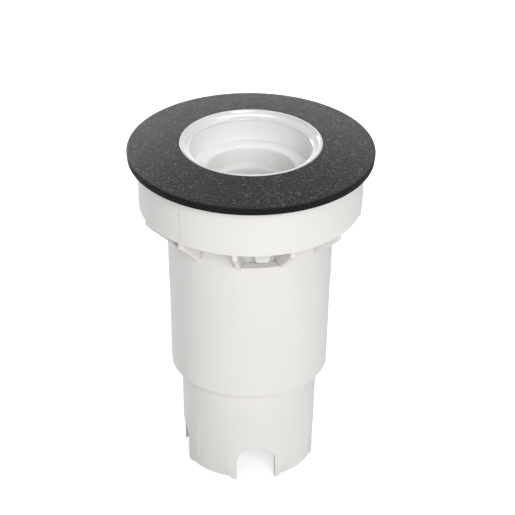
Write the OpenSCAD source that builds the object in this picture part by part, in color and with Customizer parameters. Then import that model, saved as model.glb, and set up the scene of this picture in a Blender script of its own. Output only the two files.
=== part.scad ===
// Recessed ground light: a white mounting sleeve, a lamp insert that lifts out of it,
// and a black trim ring that unscrews over a white bezel.
// Millimetres. +Z is up, Z = 0 is under the feet, and the axis of the light is the Z axis.
// The front is -Y: one cable arch and one collar pocket face it.

/* [Sleeve] */
// Height of the small feet beside the cable arches
foot_h = 1.3; // [0.6:0.1:3]
// Height of the lower tube, from its rim to the shoulder
lower_h = 48.9; // [42:0.1:60]
// Outside diameter of the lower tube at its rim
lower_d_rim = 60.2; // [59:0.1:62]
// Outside diameter of the lower tube under the shoulder
lower_d_top = 62.7; // [61.5:0.1:65]
// Height of the main tube, from the shoulder to the collar
tube_h = 81.6; // [78:0.1:95]
// Outside diameter of the main tube at the shoulder
tube_d_bottom = 71.7; // [71:0.1:73]
// Outside diameter of the main tube under the collar
tube_d_top = 75.4; // [75:0.1:77]
// Wall of the tubes
sleeve_wall = 2.4; // [1.8:0.1:2.6]
// Thickness of the shoulder between the two tubes
shoulder_t = 2.4; // [1.6:0.1:3]
// Height of the joint between upper and lower sleeve, above the shoulder
joint_h = 43.7; // [30:0.1:50]
// How much wider the upper sleeve is than the lower one at their joint
joint_step = 0.4; // [0:0.05:0.6]
// Length of the spigot that holds the two sleeves in line
spigot_h = 8; // [4:0.5:14]
// Wall of that spigot
spigot_wall = 1.8; // [1.2:0.1:1.9]

/* [Cable arches] */
// Number of cable arches round the lower rim
arch_count = 4; // [2:1:4]
// Width of a cable arch
arch_w = 17.7; // [12:0.1:22]
// Height of a cable arch above the rim
arch_h = 16.2; // [10:0.1:26]
// Radius of the top corners of an arch
arch_r = 6.6; // [2:0.1:8]
// Width of a foot beside an arch
foot_w = 2; // [1:0.1:3]
// Width of the raised panel round an arch
panel_w = 33.8; // [28:0.1:38]
// Height of that panel above the rim
panel_h = 32; // [20:0.5:40]
// How far the panel stands out at the rim, from where it thins out upwards
panel_t = 0.2; // [0.1:0.05:0.6]
// Radius of the panel's lower corners
panel_r = 6; // [2:0.5:8]

/* [Head collar] */
// Height of the collar
collar_h = 23.4; // [20:0.1:30]
// Wall of the collar at its lower edge
collar_wall = 2; // [1.6:0.1:3]
// How much the collar widens up to its top, on the radius
collar_flare = 0.5; // [0:0.05:1]
// Number of pockets under the collar
pocket_count = 6; // [3:1:6]
// Angle from the middle of a pocket to the middle of its cheek
cheek_angle = 14.8; // [12:0.1:18]
// Thickness of a cheek
cheek_t = 2.2; // [1.6:0.1:2.8]
// How far the outer end of a cheek hangs below the collar
cheek_drop = 2.5; // [1:0.1:4]
// Depth of the pocket floor below the collar
pocket_depth = 13.1; // [11:0.1:18]
// Thickness of the pocket floor
pocket_floor_t = 1; // [0.8:0.1:2]
// Width of the groove in the sleeve beside a cheek
slot_gap = 1.2; // [0.4:0.1:1.6]
// Height of the groove's lower end above the pocket floor
slot_rise = 0.5; // [0.2:0.1:3]
// Depth of the groove
slot_depth = 1.2; // [0.6:0.1:1.4]
// Thickness of the web that carries the insert
web_t = 2.4; // [1.6:0.1:3]
// Depth of the web below the top of the collar
web_depth = 8.2; // [7.8:0.1:9.6]

/* [Trim ring] */
// Outside diameter of the trim ring
trim_d = 110.8; // [106:0.1:130]
// Height of the trim ring's edge
trim_edge_h = 3.6; // [3:0.1:5]
// Rise of the trim ring from its edge to its bore
trim_crown = 3.2; // [2.8:0.1:5]
// How much the edge draws in at its foot
trim_draft = 0.4; // [0.1:0.1:1]
// How far the collar's top reaches up into the trim ring's underside
rim_lap = 0.6; // [0.3:0.1:1]
// Chamfer on the trim ring's upper edges
trim_chamfer = 0.4; // [0.1:0.1:0.8]
// Thickness of the trim ring's skirt
skirt_t = 3; // [2:0.1:3.2]
// Height of the trim ring's skirt below the collar's top
skirt_depth = 3; // [2:0.1:3.2]
// Gap between the skirt and the collar
skirt_gap = 0.8; // [0.5:0.1:1.4]

/* [Twist lock] */
// Outside diameter of the neck that carries the ramps
neck_d = 84; // [76:0.1:92]
// Wall of the neck
neck_wall = 2; // [1.4:0.1:2.4]
// Height of the neck
neck_h = 6.4; // [6:0.1:7]
// How far a ramp stands out from the neck
ramp_out = 1.7; // [1.2:0.1:2]
// Thickness of a ramp
ramp_t = 1.5; // [1:0.1:1.8]
// Gap between the ramps and the skirt
ramp_gap = 0.7; // [0.4:0.1:1]
// Height of a lug inside the skirt
lug_h = 1.6; // [1.2:0.1:1.8]
// Angle that a lug spans
lug_angle = 12; // [8:1:16]
// Angle that the trim ring turns to come free
trim_turn = 50; // [30:1:70]
// How far the ring rises over that turn
trim_rise = 2.4; // [1.5:0.1:2.6]

/* [Bezel and baffle] */
// Width of the white bezel, from its mouth to its edge
bezel_w = 4.8; // [3.6:0.1:6]
// Width of the flat band round the bezel's top
bezel_band = 1.4; // [0.6:0.1:2]
// Diameter of the bezel's mouth
mouth_d = 54.1; // [48:0.1:59.5]
// Depth of the mouth below the bezel's top
mouth_depth = 2.1; // [1.5:0.1:2.4]
// How far the upper wall draws in from the mouth down to its ledge
step1_in = 1.15; // [0.5:0.05:2]
// Depth of the upper ledge below the mouth
step1_depth = 10.2; // [9.5:0.1:11]
// Width of the upper ledge
ledge1_w = 6.3; // [4:0.1:8]
// Fall of a ledge towards the middle
ledge_fall = 0.5; // [0:0.1:1]
// Height of the middle wall
step2_h = 8.4; // [6:0.1:9.5]
// Width of the lower ledge
ledge2_w = 2.7; // [1.5:0.1:5]
// Height of the lowest wall
step3_h = 9; // [6:0.1:9.5]
// Draft of each baffle wall, on the radius
baffle_draft = 0.5; // [0:0.1:0.8]
// Wall of the baffle
baffle_wall = 1.2; // [0.9:0.1:1.4]

/* [Lamp housing] */
// Outside diameter of the lamp housing
housing_d = 63.6; // [60:0.1:64]
// Wall of the lamp housing
housing_wall = 1.8; // [1.6:0.1:2.4]
// Gap between the flange that hangs in the collar and the collar
flange_gap = 0.6; // [0.4:0.1:2]
// Thickness of that flange
flange_t = 2.8; // [2:0.1:3]
// Thickness of the seat gasket
seat_t = 1.2; // [0.8:0.1:1.4]
// Width of the seat gasket
seat_w = 4; // [2:0.1:5]
// Distance from the gasket to the flange's edge
seat_inset = 4; // [1:0.1:6]
// Width of a locating key
key_w = 6.5; // [4:0.1:8]
// Distance of a key from the middle of its pocket
key_shift = 0.9; // [0:0.1:2]
// How far a key stands out from the housing
key_out = 5.4; // [3:0.1:5.6]
// Height of a key
key_h = 12; // [6:0.5:16]
// Gap between a key and the pocket floor
key_gap = 2.4; // [0.4:0.1:3]
// Width of the recess beside a key
recess_w = 3.9; // [2:0.1:4]
// Depth of that recess
recess_depth = 1.2; // [0.8:0.1:1.4]
// Height of the recess's lower end above the foot of the key
recess_rise = 1; // [0:0.1:2]

/* [Lens and optic] */
// Thickness of the glass lens
lens_t = 4; // [3:0.1:5]
// Clear diameter through the lens seat
lens_clear_d = 49; // [40:0.5:51]
// Thickness of the lens seat
lens_seat_t = 3.4; // [2.5:0.1:4]
// Gap from the baffle's end down to the lens
lens_gap = 1.2; // [0.6:0.1:2]
// Diameter of the collimator's top
optic_d = 32; // [26:0.5:34]
// Height of the collimator
optic_h = 10.4; // [9:0.1:12]
// Side of the square chip carrier
chip_w = 13.5; // [10:0.5:14]
// Diameter of the round lamp board
board_d = 38; // [36:0.5:42]
// Thickness of the circuit boards
board_t = 1.6; // [1:0.1:2]
// Thickness of the thermal pad
pad_t = 0.5; // [0.3:0.1:1]

/* [Heat sink and driver] */
// Thickness of the heat sink's plate
sink_plate_t = 4; // [3:0.5:6]
// Length of the cooling fins
fin_h = 14; // [8:1:18]
// Thickness of a cooling fin
fin_t = 1.5; // [1:0.1:2]
// Number of cooling fins
fin_count = 18; // [6:6:18]
// Diameter of the driver board
driver_d = 49; // [44:0.5:52]
// Height of the driver board above the cap
driver_rise = 8; // [7.8:0.1:10]
// Height of the driver's capacitors
capacitor_h = 10.5; // [8:0.5:15]
// Diameter of a capacitor
capacitor_d = 8.4; // [6:0.1:9]

/* [Rear cap and gland] */
// Thickness of the rear cap
cap_t = 4; // [3.5:0.1:5]
// Gap between the cap and the sleeve's shoulder
cap_gap = 1.5; // [0.5:0.1:6]
// Height of the cap's spigot
cap_spigot_h = 4; // [3.5:0.1:5]
// Diameter of the gland's thread
gland_d = 16; // [14:0.5:20]
// Width across the flats of the gland
gland_flats = 20; // [18.5:0.5:24]
// Bore for the supply cable
cable_bore = 8; // [6:0.1:9]
// Diameter of the screws in cap, sink and baffle
screw_d = 3; // [2.5:0.1:3.5]

/* [Clearances] */
// Gap between flat faces that part
flat_gap = 0.3; // [0.1:0.05:0.5]
// Gap between round faces that move past each other
slide_gap = 0.3; // [0.2:0.05:0.5]
// Gap between the bezel and the bore of the trim ring
bezel_gap = 0.15; // [0.1:0.05:0.3]
// Gap between pieces fitted together
fit_gap = 0.1; // [0.05:0.05:0.2]

/* [Hidden] */
$fn = 96;
// Overlap that joins two shapes of one piece
bite = 0.5;

// Heights of the sleeve, counted up from the floor
rim_z = foot_h;
shoulder_z = rim_z + lower_h;
joint_z = shoulder_z + joint_h;
collar_z = shoulder_z + tube_h;
collar_top_z = collar_z + collar_h;
web_top_z = collar_top_z - web_depth;
web_z = web_top_z - web_t;
floor_z = collar_z - pocket_depth;
floor_low_z = floor_z - pocket_floor_t;

// Radii of the sleeve
panel_top_r = lower_d_rim / 2 + (lower_d_top - lower_d_rim) / 2 * panel_h / lower_h;
panel_sink = 0.03;
joint_r = tube_d_bottom / 2 + (tube_d_top - tube_d_bottom) / 2 * joint_h / tube_h;
joint_r_upper = joint_r + joint_step / 4;
joint_r_lower = joint_r - joint_step / 4;
tube_slope = (tube_d_top / 2 - joint_r_upper) / (collar_z - joint_z);
tube_top_r = tube_d_top / 2 + tube_slope * (web_z - collar_z);
spigot_r = joint_r_upper - sleeve_wall - fit_gap;

// Lamp housing, from its flange down
housing_r = housing_d / 2;
housing_in_r = housing_r - housing_wall;
guide_r = housing_r + slide_gap + fit_gap;
guide_wall = tube_d_top / 2 - sleeve_wall - slide_gap - guide_r;
flange_z = web_top_z + seat_t;
deck_z = flange_z + flange_t;
groove_z = floor_z + slot_rise;
key_z = floor_z + key_gap;
key_corner = 1.6;
cap_z = shoulder_z + shoulder_t + cap_gap;
housing_z = cap_z + cap_t;

// Lock ring on the deck
neck_r = neck_d / 2;
ring_base_t = 1.2;
neck_top_z = deck_z + neck_h;
lug_r = neck_r + slide_gap;
trim_z = collar_top_z + flat_gap - rim_lap;
skirt_z = trim_z - skirt_depth - flat_gap;
ramp_z = skirt_z + lug_h + flat_gap + 0.1;
ramp_count = 3;
ramp_steps = 12;
ramp_first = 30;

// Trim ring
trim_r = trim_d / 2;
trim_edge_z = trim_z + trim_edge_h;
trim_top_z = trim_edge_z + trim_crown;
skirt_in_r = neck_r + ramp_out + ramp_gap;
skirt_out_r = skirt_in_r + skirt_t;
collar_bore_r = skirt_out_r + skirt_gap;
collar_low_r = collar_bore_r + collar_wall;
collar_top_r = collar_low_r + collar_flare;
flange_r = collar_bore_r - flange_gap;
seal_t = 0.6;
ceiling_z = neck_top_z + seal_t + fit_gap;

// Bezel and its snap ring
mouth_r = mouth_d / 2;
bezel_r = mouth_r + bezel_w;
trim_bore_r = bezel_r + bezel_gap;
bezel_top_z = trim_top_z + 0.1;
mouth_z = bezel_top_z - mouth_depth;
bezel_lip_t = 1;
lip_z = trim_top_z - 2.8;
bezel_flange_r = bezel_r + 2;
bezel_flange_top = lip_z - 0.2;
bezel_flange_t = 1.3;
bezel_flange_z = bezel_flange_top - bezel_flange_t;
boss_in_r = bezel_flange_r + 0.45;
boss_out_r = boss_in_r + 1.2;
snap_t = 0.6;
snap_z = bezel_flange_z - 0.3 - snap_t;
boss_z = snap_z - 1;
snap_in_r = bezel_flange_r - 0.6;
snap_out_r = boss_in_r + 0.5;

// Baffle
baffle_top_z = mouth_z - bezel_lip_t - 0.2;
baffle_top_r = mouth_r + 0.25;
step1_r = mouth_r - step1_in;
step2_r = step1_r - ledge1_w;
step3_r = step2_r - baffle_draft - ledge2_w;
ledge1_z = mouth_z - step1_depth;
ledge2_z = ledge1_z - ledge_fall - step2_h;
baffle_low_z = ledge2_z - ledge_fall - step3_h;
baffle_flange_z = deck_z + ring_base_t;
baffle_flange_t = 1.4;
baffle_flange_r = neck_r - neck_wall - 1;
head_r = screw_d * 0.9;
head_h = 1.3;
bezel_skirt_r = baffle_top_r + baffle_wall + slide_gap;
bezel_skirt_wall = 1.5;
bezel_skirt_z = baffle_flange_z + baffle_flange_t + head_h + 0.3;
tab_w = 6;
tab_out_r = snap_in_r - 0.9;
tab_z = baffle_flange_z + baffle_flange_t + 0.3;
post_in_r = bezel_skirt_r + bezel_skirt_wall + 0.3;
post_w = 2.4;
post_top_z = bezel_flange_z - 0.5;

// Screws that hold the baffle and the lock ring to the deck
deck_screw_r = neck_r - neck_wall - 3.3;
ring_base_r = deck_screw_r - 3.2;
deck_screw_count = 3;

// Lens, from the baffle down
lens_top_z = baffle_low_z - lens_gap;
lens_z = lens_top_z - lens_t;
lens_gasket_t = 1;
lens_seat_z = lens_z - lens_gasket_t;
lens_seat_low_z = lens_seat_z - lens_seat_t;
lens_r = housing_in_r - 0.5;
retainer_h = 4;

// Lamp stack, from the lens seat down
optic_top_z = lens_seat_z - 0.7;
optic_z = optic_top_z - optic_h;
optic_flange_t = 1.5;
chip_t = 1;
emitter_t = 0.4;
board_top_z = optic_z - 0.4 - chip_t - emitter_t;
pad_z = board_top_z - board_t - pad_t;
sink_z = pad_z - sink_plate_t;
sink_r = housing_in_r - slide_gap;
fin_z = sink_z - fin_h;
sink_hub_r = 8;
boss_r = 3;
sink_boss_r = housing_in_r - boss_r - 0.2;
board_screw_d = 2.5;
board_screw_r = board_d / 2 - 2.8;
holder_in_r = chip_w * 0.72;
holder_low_r = holder_in_r + 3.4;
lead_r = 0.9;
lead_place_r = board_d / 2 - 3.1;
lead_angles = [2 * 360 / fin_count, 3 * 360 / fin_count];

// Rear cap and driver
spigot_out_r = housing_in_r - slide_gap - fit_gap;
spigot_in_r = spigot_out_r - 2.2;
ring_section = 0.8;
ring_groove = 1.4;
cap_screw_r = spigot_in_r - boss_r - 1.2;
driver_z = housing_z + driver_rise;
driver_top_z = driver_z + board_t;
post_r = 2.6;
post_place_r = 17;
choke_place = [-11, -6.5];
choke_r = 4.6;
choke_core_r = 3.2;
choke_h = 8.4;
choke_end_t = 1.2;
capacitor_places = [[-12, 4.5], [-1.5, 14]];
chip_blocks = [[12.5, 3, 6, 5, 1.7], [5.4, -4, 6.4, 5, 2.4], [-2.5, -19, 5, 4, 1.6]];
terminal_place = [3, -17.5];
terminal_size = [10, 8, 8.5];
terminal_pitch = 4.8;
insulator_t = 1;
insulator_z = fin_z - 0.2 - insulator_t;

// Gland, from the cap down
gland_washer_t = 1;
gland_hex_t = 5;
gland_hex_z = cap_z - gland_washer_t - gland_hex_t;
gland_tail_h = 8;
gland_tail_z = gland_hex_z - gland_tail_h;
gland_nut_wall = 3.3;
gland_nut_z = gland_tail_z - gland_nut_wall - 0.7;
gland_nut_top_z = gland_hex_z - 1;
gland_seal_r = gland_d / 2 - 1.8;
locknut_t = 3.6;
hex_factor = 2 / sqrt(3);
vent_place_r = 21;
vent_angle = 30;

white = "#f1f1ee";
black = "#3c3c40";
rubber = "#2b2b2c";
steel = "#b9bcbf";
brass = "#c9a75a";

// A solid of revolution from points given as radius and height.
module turned(points) rotate_extrude() polygon(points);

// A plain ring between two radii and two heights.
module ring(outer, inner, low, high)
    difference() {
        translate([0, 0, low]) cylinder(r = outer, h = high - low);
        translate([0, 0, low - 1]) cylinder(r = inner, h = high - low + 2);
    }

// Copies its children round the axis, the first one at the given angle.
module around(count, first = 0)
    for (i = [0 : count - 1]) rotate([0, 0, first + i * 360 / count]) children();

// A round rod along Z at a distance from the axis.
module rod(place, radius, low, high)
    translate([place, 0, low]) cylinder(r = radius, h = high - low, $fn = 48);

// A hexagonal prism with the given width across its flats.
module hexagon(flats, low, high)
    translate([0, 0, low]) cylinder(r = flats / 2 * hex_factor, h = high - low, $fn = 6);

// A pan-head screw that points down, its head standing on the given height.
module screw(place, radius, head_low, tip) {
    rod(place, radius * 1.8, head_low, head_low + head_h);
    rod(place, radius, tip, head_low + 0.01);
}

// The outline of a cable arch: straight sides and rounded top corners.
module arch_outline() {
    translate([-arch_w / 2, -foot_h - 1]) square([arch_w, foot_h + 1 + arch_h - arch_r]);
    translate([-arch_w / 2 + arch_r, -1]) square([arch_w - 2 * arch_r, arch_h + 1]);
    for (side = [-1, 1])
        translate([side * (arch_w / 2 - arch_r), arch_h - arch_r]) circle(r = arch_r, $fn = 64);
}

// The outline of the panel round an arch, with rounded lower corners.
module panel_outline() {
    low = 1.4;
    translate([-panel_w / 2, low + panel_r]) square([panel_w, panel_h - low - panel_r]);
    translate([-panel_w / 2 + panel_r, low]) square([panel_w - 2 * panel_r, panel_h - low]);
    for (side = [-1, 1])
        translate([side * (panel_w / 2 - panel_r), low + panel_r]) circle(r = panel_r, $fn = 64);
}

// Extrudes an outline drawn on the front so that it cuts the front wall of a tube.
module through_front(depth)
    translate([0, 0, rim_z]) rotate([90, 0, 0]) linear_extrude(depth) children();

module lower_sleeve()
    color(white) difference() {
        union() {
            turned([
                [lower_d_rim / 2 - sleeve_wall, rim_z],
                [lower_d_rim / 2, rim_z],
                [lower_d_top / 2, shoulder_z],
                [tube_d_bottom / 2, shoulder_z],
                [joint_r_lower, joint_z],
                [spigot_r, joint_z],
                [spigot_r, joint_z + spigot_h],
                [spigot_r - spigot_wall, joint_z + spigot_h],
                [spigot_r - spigot_wall, joint_z - spigot_wall],
                [tube_d_bottom / 2 - sleeve_wall, shoulder_z + shoulder_t],
                [lower_d_top / 2 - sleeve_wall, shoulder_z + shoulder_t]]);
            around(arch_count) intersection() {
                turned([
                    [lower_d_rim / 2 - bite, rim_z],
                    [lower_d_rim / 2 + panel_t, rim_z],
                    [panel_top_r - panel_sink, rim_z + panel_h],
                    [panel_top_r - bite, rim_z + panel_h]]);
                through_front(trim_r) panel_outline();
            }
            around(arch_count) for (side = [-1, 1]) intersection() {
                ring(lower_d_rim / 2 + panel_t, lower_d_rim / 2 - sleeve_wall, 0, rim_z + 2);
                translate([side * (arch_w + foot_w) / 2 - foot_w / 2 - bite, -trim_r, 0])
                    cube([foot_w + 2 * bite, trim_r, rim_z + 2]);
            }
        }
        around(arch_count) through_front(trim_r) arch_outline();
    }

module upper_sleeve()
    color(white) difference() {
        turned([
            [joint_r_upper - sleeve_wall, joint_z],
            [joint_r_upper, joint_z],
            [tube_top_r, web_z],
            [tube_top_r - sleeve_wall, web_z]]);
        slot_w = 2 * (tube_d_top / 2 * sin(cheek_angle) + cheek_t / 2 + slot_gap);
        around(pocket_count) difference() {
            translate([-slot_w / 2, -trim_r, groove_z]) cube([slot_w, trim_r, web_z - groove_z + 1]);
            cylinder(r = tube_d_top / 2 - slot_depth, h = collar_top_z);
        }
        around(pocket_count) pocket_space(trim_r, floor_low_z, web_z + 1);
        at_cheeks() cheek_slab(floor_low_z, web_z + 1);
    }

// The slab of a cheek, centred on its radial plane.
module cheek_slab(low, high)
    translate([0, -cheek_t / 2, low]) cube([trim_r, cheek_t, high - low]);

// Places its children on both cheeks of every pocket.
module at_cheeks()
    around(pocket_count) for (side = [-1, 1]) rotate([0, 0, side * cheek_angle - 90]) children();

// The wedge-shaped space between the two cheeks of the front pocket.
module pocket_space(reach, low, high)
    translate([0, 0, low]) linear_extrude(high - low) polygon([
        [0, 0],
        [-reach * sin(cheek_angle), -reach * cos(cheek_angle)],
        [reach * sin(cheek_angle), -reach * cos(cheek_angle)]]);

module head_collar()
    color(white) union() {
        turned([
            [collar_bore_r, collar_z],
            [collar_low_r, collar_z],
            [collar_top_r, collar_top_z],
            [collar_bore_r, collar_top_z]]);
        difference() {
            ring(collar_bore_r + bite, guide_r, web_z, web_top_z);
            around(pocket_count) pocket_space(guide_r + key_out + 1, web_z - 1, web_top_z + 1);
        }
    }

module pocket_cheeks()
    color(white) difference() {
        at_cheeks() rotate([90, 0, 0]) translate([0, 0, -cheek_t / 2])
            linear_extrude(cheek_t) polygon([
                [guide_r - 1, floor_low_z],
                [tube_d_top / 2, floor_low_z],
                [collar_low_r - 0.15, collar_z - cheek_drop],
                [collar_low_r - 0.15, web_z],
                [guide_r - 1, web_z]]);
        ring(trim_r, collar_bore_r, collar_z, collar_top_z);
        translate([0, 0, floor_low_z - 1]) cylinder(r = guide_r, h = collar_h + pocket_depth);
    }

module pocket_floors()
    color(white) difference() {
        intersection() {
            ring(tube_d_top / 2, guide_r, floor_low_z, floor_z);
            around(pocket_count) pocket_space(trim_r, floor_low_z - 1, floor_z + 1);
        }
        at_cheeks() cheek_slab(floor_low_z - 1, floor_z + 1);
    }

module insert_guide()
    color(white) difference() {
        ring(guide_r + guide_wall, guide_r, floor_low_z, web_z);
        around(pocket_count) pocket_space(trim_r, floor_low_z - 1, web_z + 1);
        at_cheeks() cheek_slab(floor_low_z - 1, web_z + 1);
    }

module seat_gasket()
    color(rubber) ring(flange_r - seat_inset, flange_r - seat_inset - seat_w, web_top_z, flange_z);

// One locating key, with its lower corners rounded.
module key()
    translate([key_shift, -housing_r + 1, key_z]) rotate([90, 0, 0]) linear_extrude(key_out + 1) {
        translate([-key_w / 2, key_corner]) square([key_w, key_h - key_corner]);
        translate([-key_w / 2 + key_corner, 0]) square([key_w - 2 * key_corner, key_corner + 1]);
        for (side = [-1, 1])
            translate([side * (key_w / 2 - key_corner), key_corner]) circle(r = key_corner, $fn = 48);
    }

module locating_keys()
    color(white) difference() {
        around(pocket_count) key();
        translate([0, 0, key_z - 1]) cylinder(r = housing_r, h = key_h + 2);
    }

module lamp_housing()
    color(white) difference() {
        union() {
            turned([
                [housing_in_r, housing_z],
                [housing_r, housing_z],
                [housing_r, flange_z],
                [flange_r, flange_z],
                [flange_r, deck_z],
                [housing_in_r, deck_z],
                [housing_in_r, lens_seat_z],
                [lens_clear_d / 2, lens_seat_z],
                [lens_clear_d / 2, lens_seat_low_z],
                [housing_in_r, lens_seat_low_z]]);
            around(3, 60) rod(sink_boss_r, boss_r, pad_z, lens_seat_low_z + bite);
            around(3, 60) rod(cap_screw_r, boss_r, housing_z, driver_z - 0.4);
            around(3, 60) translate([cap_screw_r, -boss_r / 2, housing_z + cap_spigot_h + flat_gap])
                cube([housing_in_r - cap_screw_r + bite, boss_r,
                      driver_z - 0.4 - housing_z - cap_spigot_h - flat_gap]);
        }
        around(3, 60) rod(sink_boss_r, screw_d / 2, pad_z - 1, pad_z + 9);
        around(3, 60) rod(cap_screw_r, screw_d / 2, housing_z - 1, driver_z - 1.4);
        around(deck_screw_count) rod(deck_screw_r, screw_d / 2, deck_z - 2.3, deck_z + 1);
        around(pocket_count)
            translate([key_shift - key_w / 2 - recess_w, -housing_r - 1, key_z + recess_rise])
                cube([recess_w, recess_depth + 1, key_h]);
    }

// A piece of a helical rib: rises with the angle at the trim ring's own rate.
module ramp(from, to, inner, outer, low, thick) {
    rate = trim_rise / trim_turn;
    step = (to - from) / ramp_steps;
    corners = [for (i = [0 : ramp_steps], c = [0 : 3])
        let (a = from + i * step, z = low + rate * a, r = c < 2 ? inner : outer,
             up = (c == 1 || c == 2) ? thick : 0)
        [r * cos(a), r * sin(a), z + up]];
    sides = [for (i = [0 : ramp_steps - 1], c = [0 : 3])
        let (n = (c + 1) % 4)
        each [[4 * i + c, 4 * i + 4 + c, 4 * i + n], [4 * i + n, 4 * i + 4 + c, 4 * i + 4 + n]]];
    last = 4 * ramp_steps;
    polyhedron(points = corners,
               faces = concat(sides, [[0, 1, 2], [0, 2, 3]],
                              [[last, last + 2, last + 1], [last, last + 3, last + 2]]));
}

module lock_ring()
    color(white) difference() {
        union() {
            turned([
                [ring_base_r, deck_z],
                [neck_r, deck_z],
                [neck_r, neck_top_z],
                [neck_r - neck_wall, neck_top_z],
                [neck_r - neck_wall, deck_z + ring_base_t],
                [ring_base_r, deck_z + ring_base_t]]);
            around(ramp_count, ramp_first)
                ramp(-lug_angle / 2 - 2, trim_turn - lug_angle / 2 - 2,
                     neck_r - bite, neck_r + ramp_out, ramp_z, ramp_t);
            around(ramp_count, ramp_first - lug_angle / 2 - 2.6)
                translate([neck_r - bite, -1.4, deck_z]) cube([ramp_out + bite, 1.6, ramp_z - deck_z + 1]);
        }
        around(deck_screw_count) rod(deck_screw_r, screw_d / 2 + 0.1, deck_z - 1, deck_z + 3);
    }

module neck_gasket()
    color(rubber) ring(neck_r - 0.3, neck_r - neck_wall + 0.3, neck_top_z, neck_top_z + seal_t);

module baffle()
    color(white) difference() {
        union() {
            turned([
                [baffle_top_r, baffle_top_z],
                [step1_r, ledge1_z],
                [step2_r, ledge1_z - ledge_fall],
                [step2_r - baffle_draft, ledge2_z],
                [step3_r, ledge2_z - ledge_fall],
                [step3_r - baffle_draft, baffle_low_z],
                [step3_r + baffle_wall, baffle_low_z],
                [step3_r + baffle_wall, ledge2_z - baffle_wall],
                [step2_r + baffle_wall, ledge2_z - baffle_wall],
                [step2_r + baffle_wall, ledge1_z - baffle_wall],
                [step1_r + baffle_wall, ledge1_z - baffle_wall],
                [step1_r + baffle_wall, baffle_flange_z],
                [baffle_flange_r, baffle_flange_z],
                [baffle_flange_r, baffle_flange_z + baffle_flange_t],
                [baffle_top_r + baffle_wall, baffle_flange_z + baffle_flange_t],
                [baffle_top_r + baffle_wall, baffle_top_z]]);
            around(3, 60) for (side = [-1, 1])
                translate([post_in_r, side * (tab_w + post_w + 0.7) / 2 - post_w / 2,
                           baffle_flange_z + bite])
                    cube([tab_out_r - post_in_r, post_w, post_top_z - baffle_flange_z - bite]);
        }
        around(deck_screw_count)
            rod(deck_screw_r, screw_d / 2 + 0.1, baffle_flange_z - 1, baffle_flange_z + 3);
    }

module baffle_screws()
    color(steel) around(deck_screw_count)
        screw(deck_screw_r, screw_d / 2, baffle_flange_z + baffle_flange_t, deck_z - 2.1);

module lens_glass()
    color("#cfe3ea", 0.5) translate([0, 0, lens_z]) cylinder(r = lens_r, h = lens_t);

module lens_gasket()
    color("#d8d8d6") ring(lens_r, lens_clear_d / 2 + 0.6, lens_seat_z, lens_z);

module lens_retainer()
    color(black) difference() {
        ring(housing_in_r - fit_gap, lens_clear_d / 2 + 0.8, lens_top_z, lens_top_z + retainer_h);
        around(2) translate([lens_clear_d / 2 - 2, -1.5, lens_top_z + retainer_h - 1.5])
            cube([housing_in_r, 3, 3]);
    }

module collimator()
    color("#e6eef2", 0.6) difference() {
        turned([
            [0, optic_z],
            [chip_w * 0.46, optic_z],
            [optic_d / 2 - 1.2, optic_top_z - optic_flange_t],
            [optic_d / 2, optic_top_z - optic_flange_t],
            [optic_d / 2, optic_top_z],
            [0, optic_top_z]]);
        translate([0, 0, optic_z - 1]) cylinder(r = chip_w * 0.3, h = 4);
    }

module optic_holder()
    color(white) turned([
        [holder_in_r, board_top_z],
        [holder_low_r, board_top_z],
        [holder_low_r, optic_z + 1],
        [optic_d / 2 + 1.8, optic_top_z - optic_flange_t - 1],
        [optic_d / 2 + 1.8, optic_top_z],
        [optic_d / 2 + 0.2, optic_top_z],
        [optic_d / 2 + 0.2, optic_top_z - optic_flange_t],
        [optic_d / 2 - 0.7, optic_top_z - optic_flange_t],
        [holder_in_r, optic_z + 1]]);

module led_chip()
    color("#e8c65a") union() {
        translate([-chip_w / 2, -chip_w / 2, board_top_z]) cube([chip_w, chip_w, chip_t]);
        translate([0, 0, board_top_z + chip_t - 0.1]) cylinder(r = chip_w * 0.36, h = emitter_t + 0.1);
    }

// A board or pad under the lamp, with holes for its screws and leads.
module lamp_disc(low, high)
    difference() {
        translate([0, 0, low]) cylinder(r = board_d / 2, h = high - low);
        around(2, 90) rod(board_screw_r, board_screw_d / 2 + 0.1, low - 1, high + 1);
        for (a = lead_angles) rotate([0, 0, a]) rod(lead_place_r, lead_r + 0.3, low - 1, high + 1);
    }

module led_board() color("#f4f4f2") lamp_disc(board_top_z - board_t, board_top_z);

module thermal_pad() color("#9aa4ad") lamp_disc(pad_z, pad_z + pad_t);

module board_screws()
    color(steel) around(2, 90)
        screw(board_screw_r, board_screw_d / 2, board_top_z, pad_z - sink_plate_t + 1);

module heat_sink()
    color("#a9adb1") difference() {
        union() {
            translate([0, 0, sink_z]) cylinder(r = sink_r, h = sink_plate_t);
            translate([0, 0, fin_z]) cylinder(r = sink_hub_r, h = fin_h + bite);
            around(fin_count, 180 / fin_count)
                translate([sink_hub_r - 1, -fin_t / 2, fin_z])
                    cube([sink_r - sink_hub_r, fin_t, fin_h + bite]);
        }
        around(3, 60) rod(sink_boss_r, screw_d / 2 + 0.2, sink_z - 1, pad_z + 1);
        around(2, 90) rod(board_screw_r, board_screw_d / 2, sink_z + 1, pad_z + 1);
        for (a = lead_angles) rotate([0, 0, a]) rod(lead_place_r, lead_r + 0.4, sink_z - 1, pad_z + 1);
    }

module heat_sink_screws()
    color(steel) around(3, 60) {
        rod(sink_boss_r, head_r, sink_z - head_h, sink_z);
        rod(sink_boss_r, screw_d / 2, sink_z - 0.01, pad_z + 7);
    }

module insulator_disc()
    color("#e9dfc4") difference() {
        translate([0, 0, insulator_z]) cylinder(r = sink_r - 0.4, h = insulator_t);
        for (a = lead_angles)
            rotate([0, 0, a]) rod(lead_place_r, lead_r + 0.4, insulator_z - 1, fin_z + 1);
    }

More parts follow.
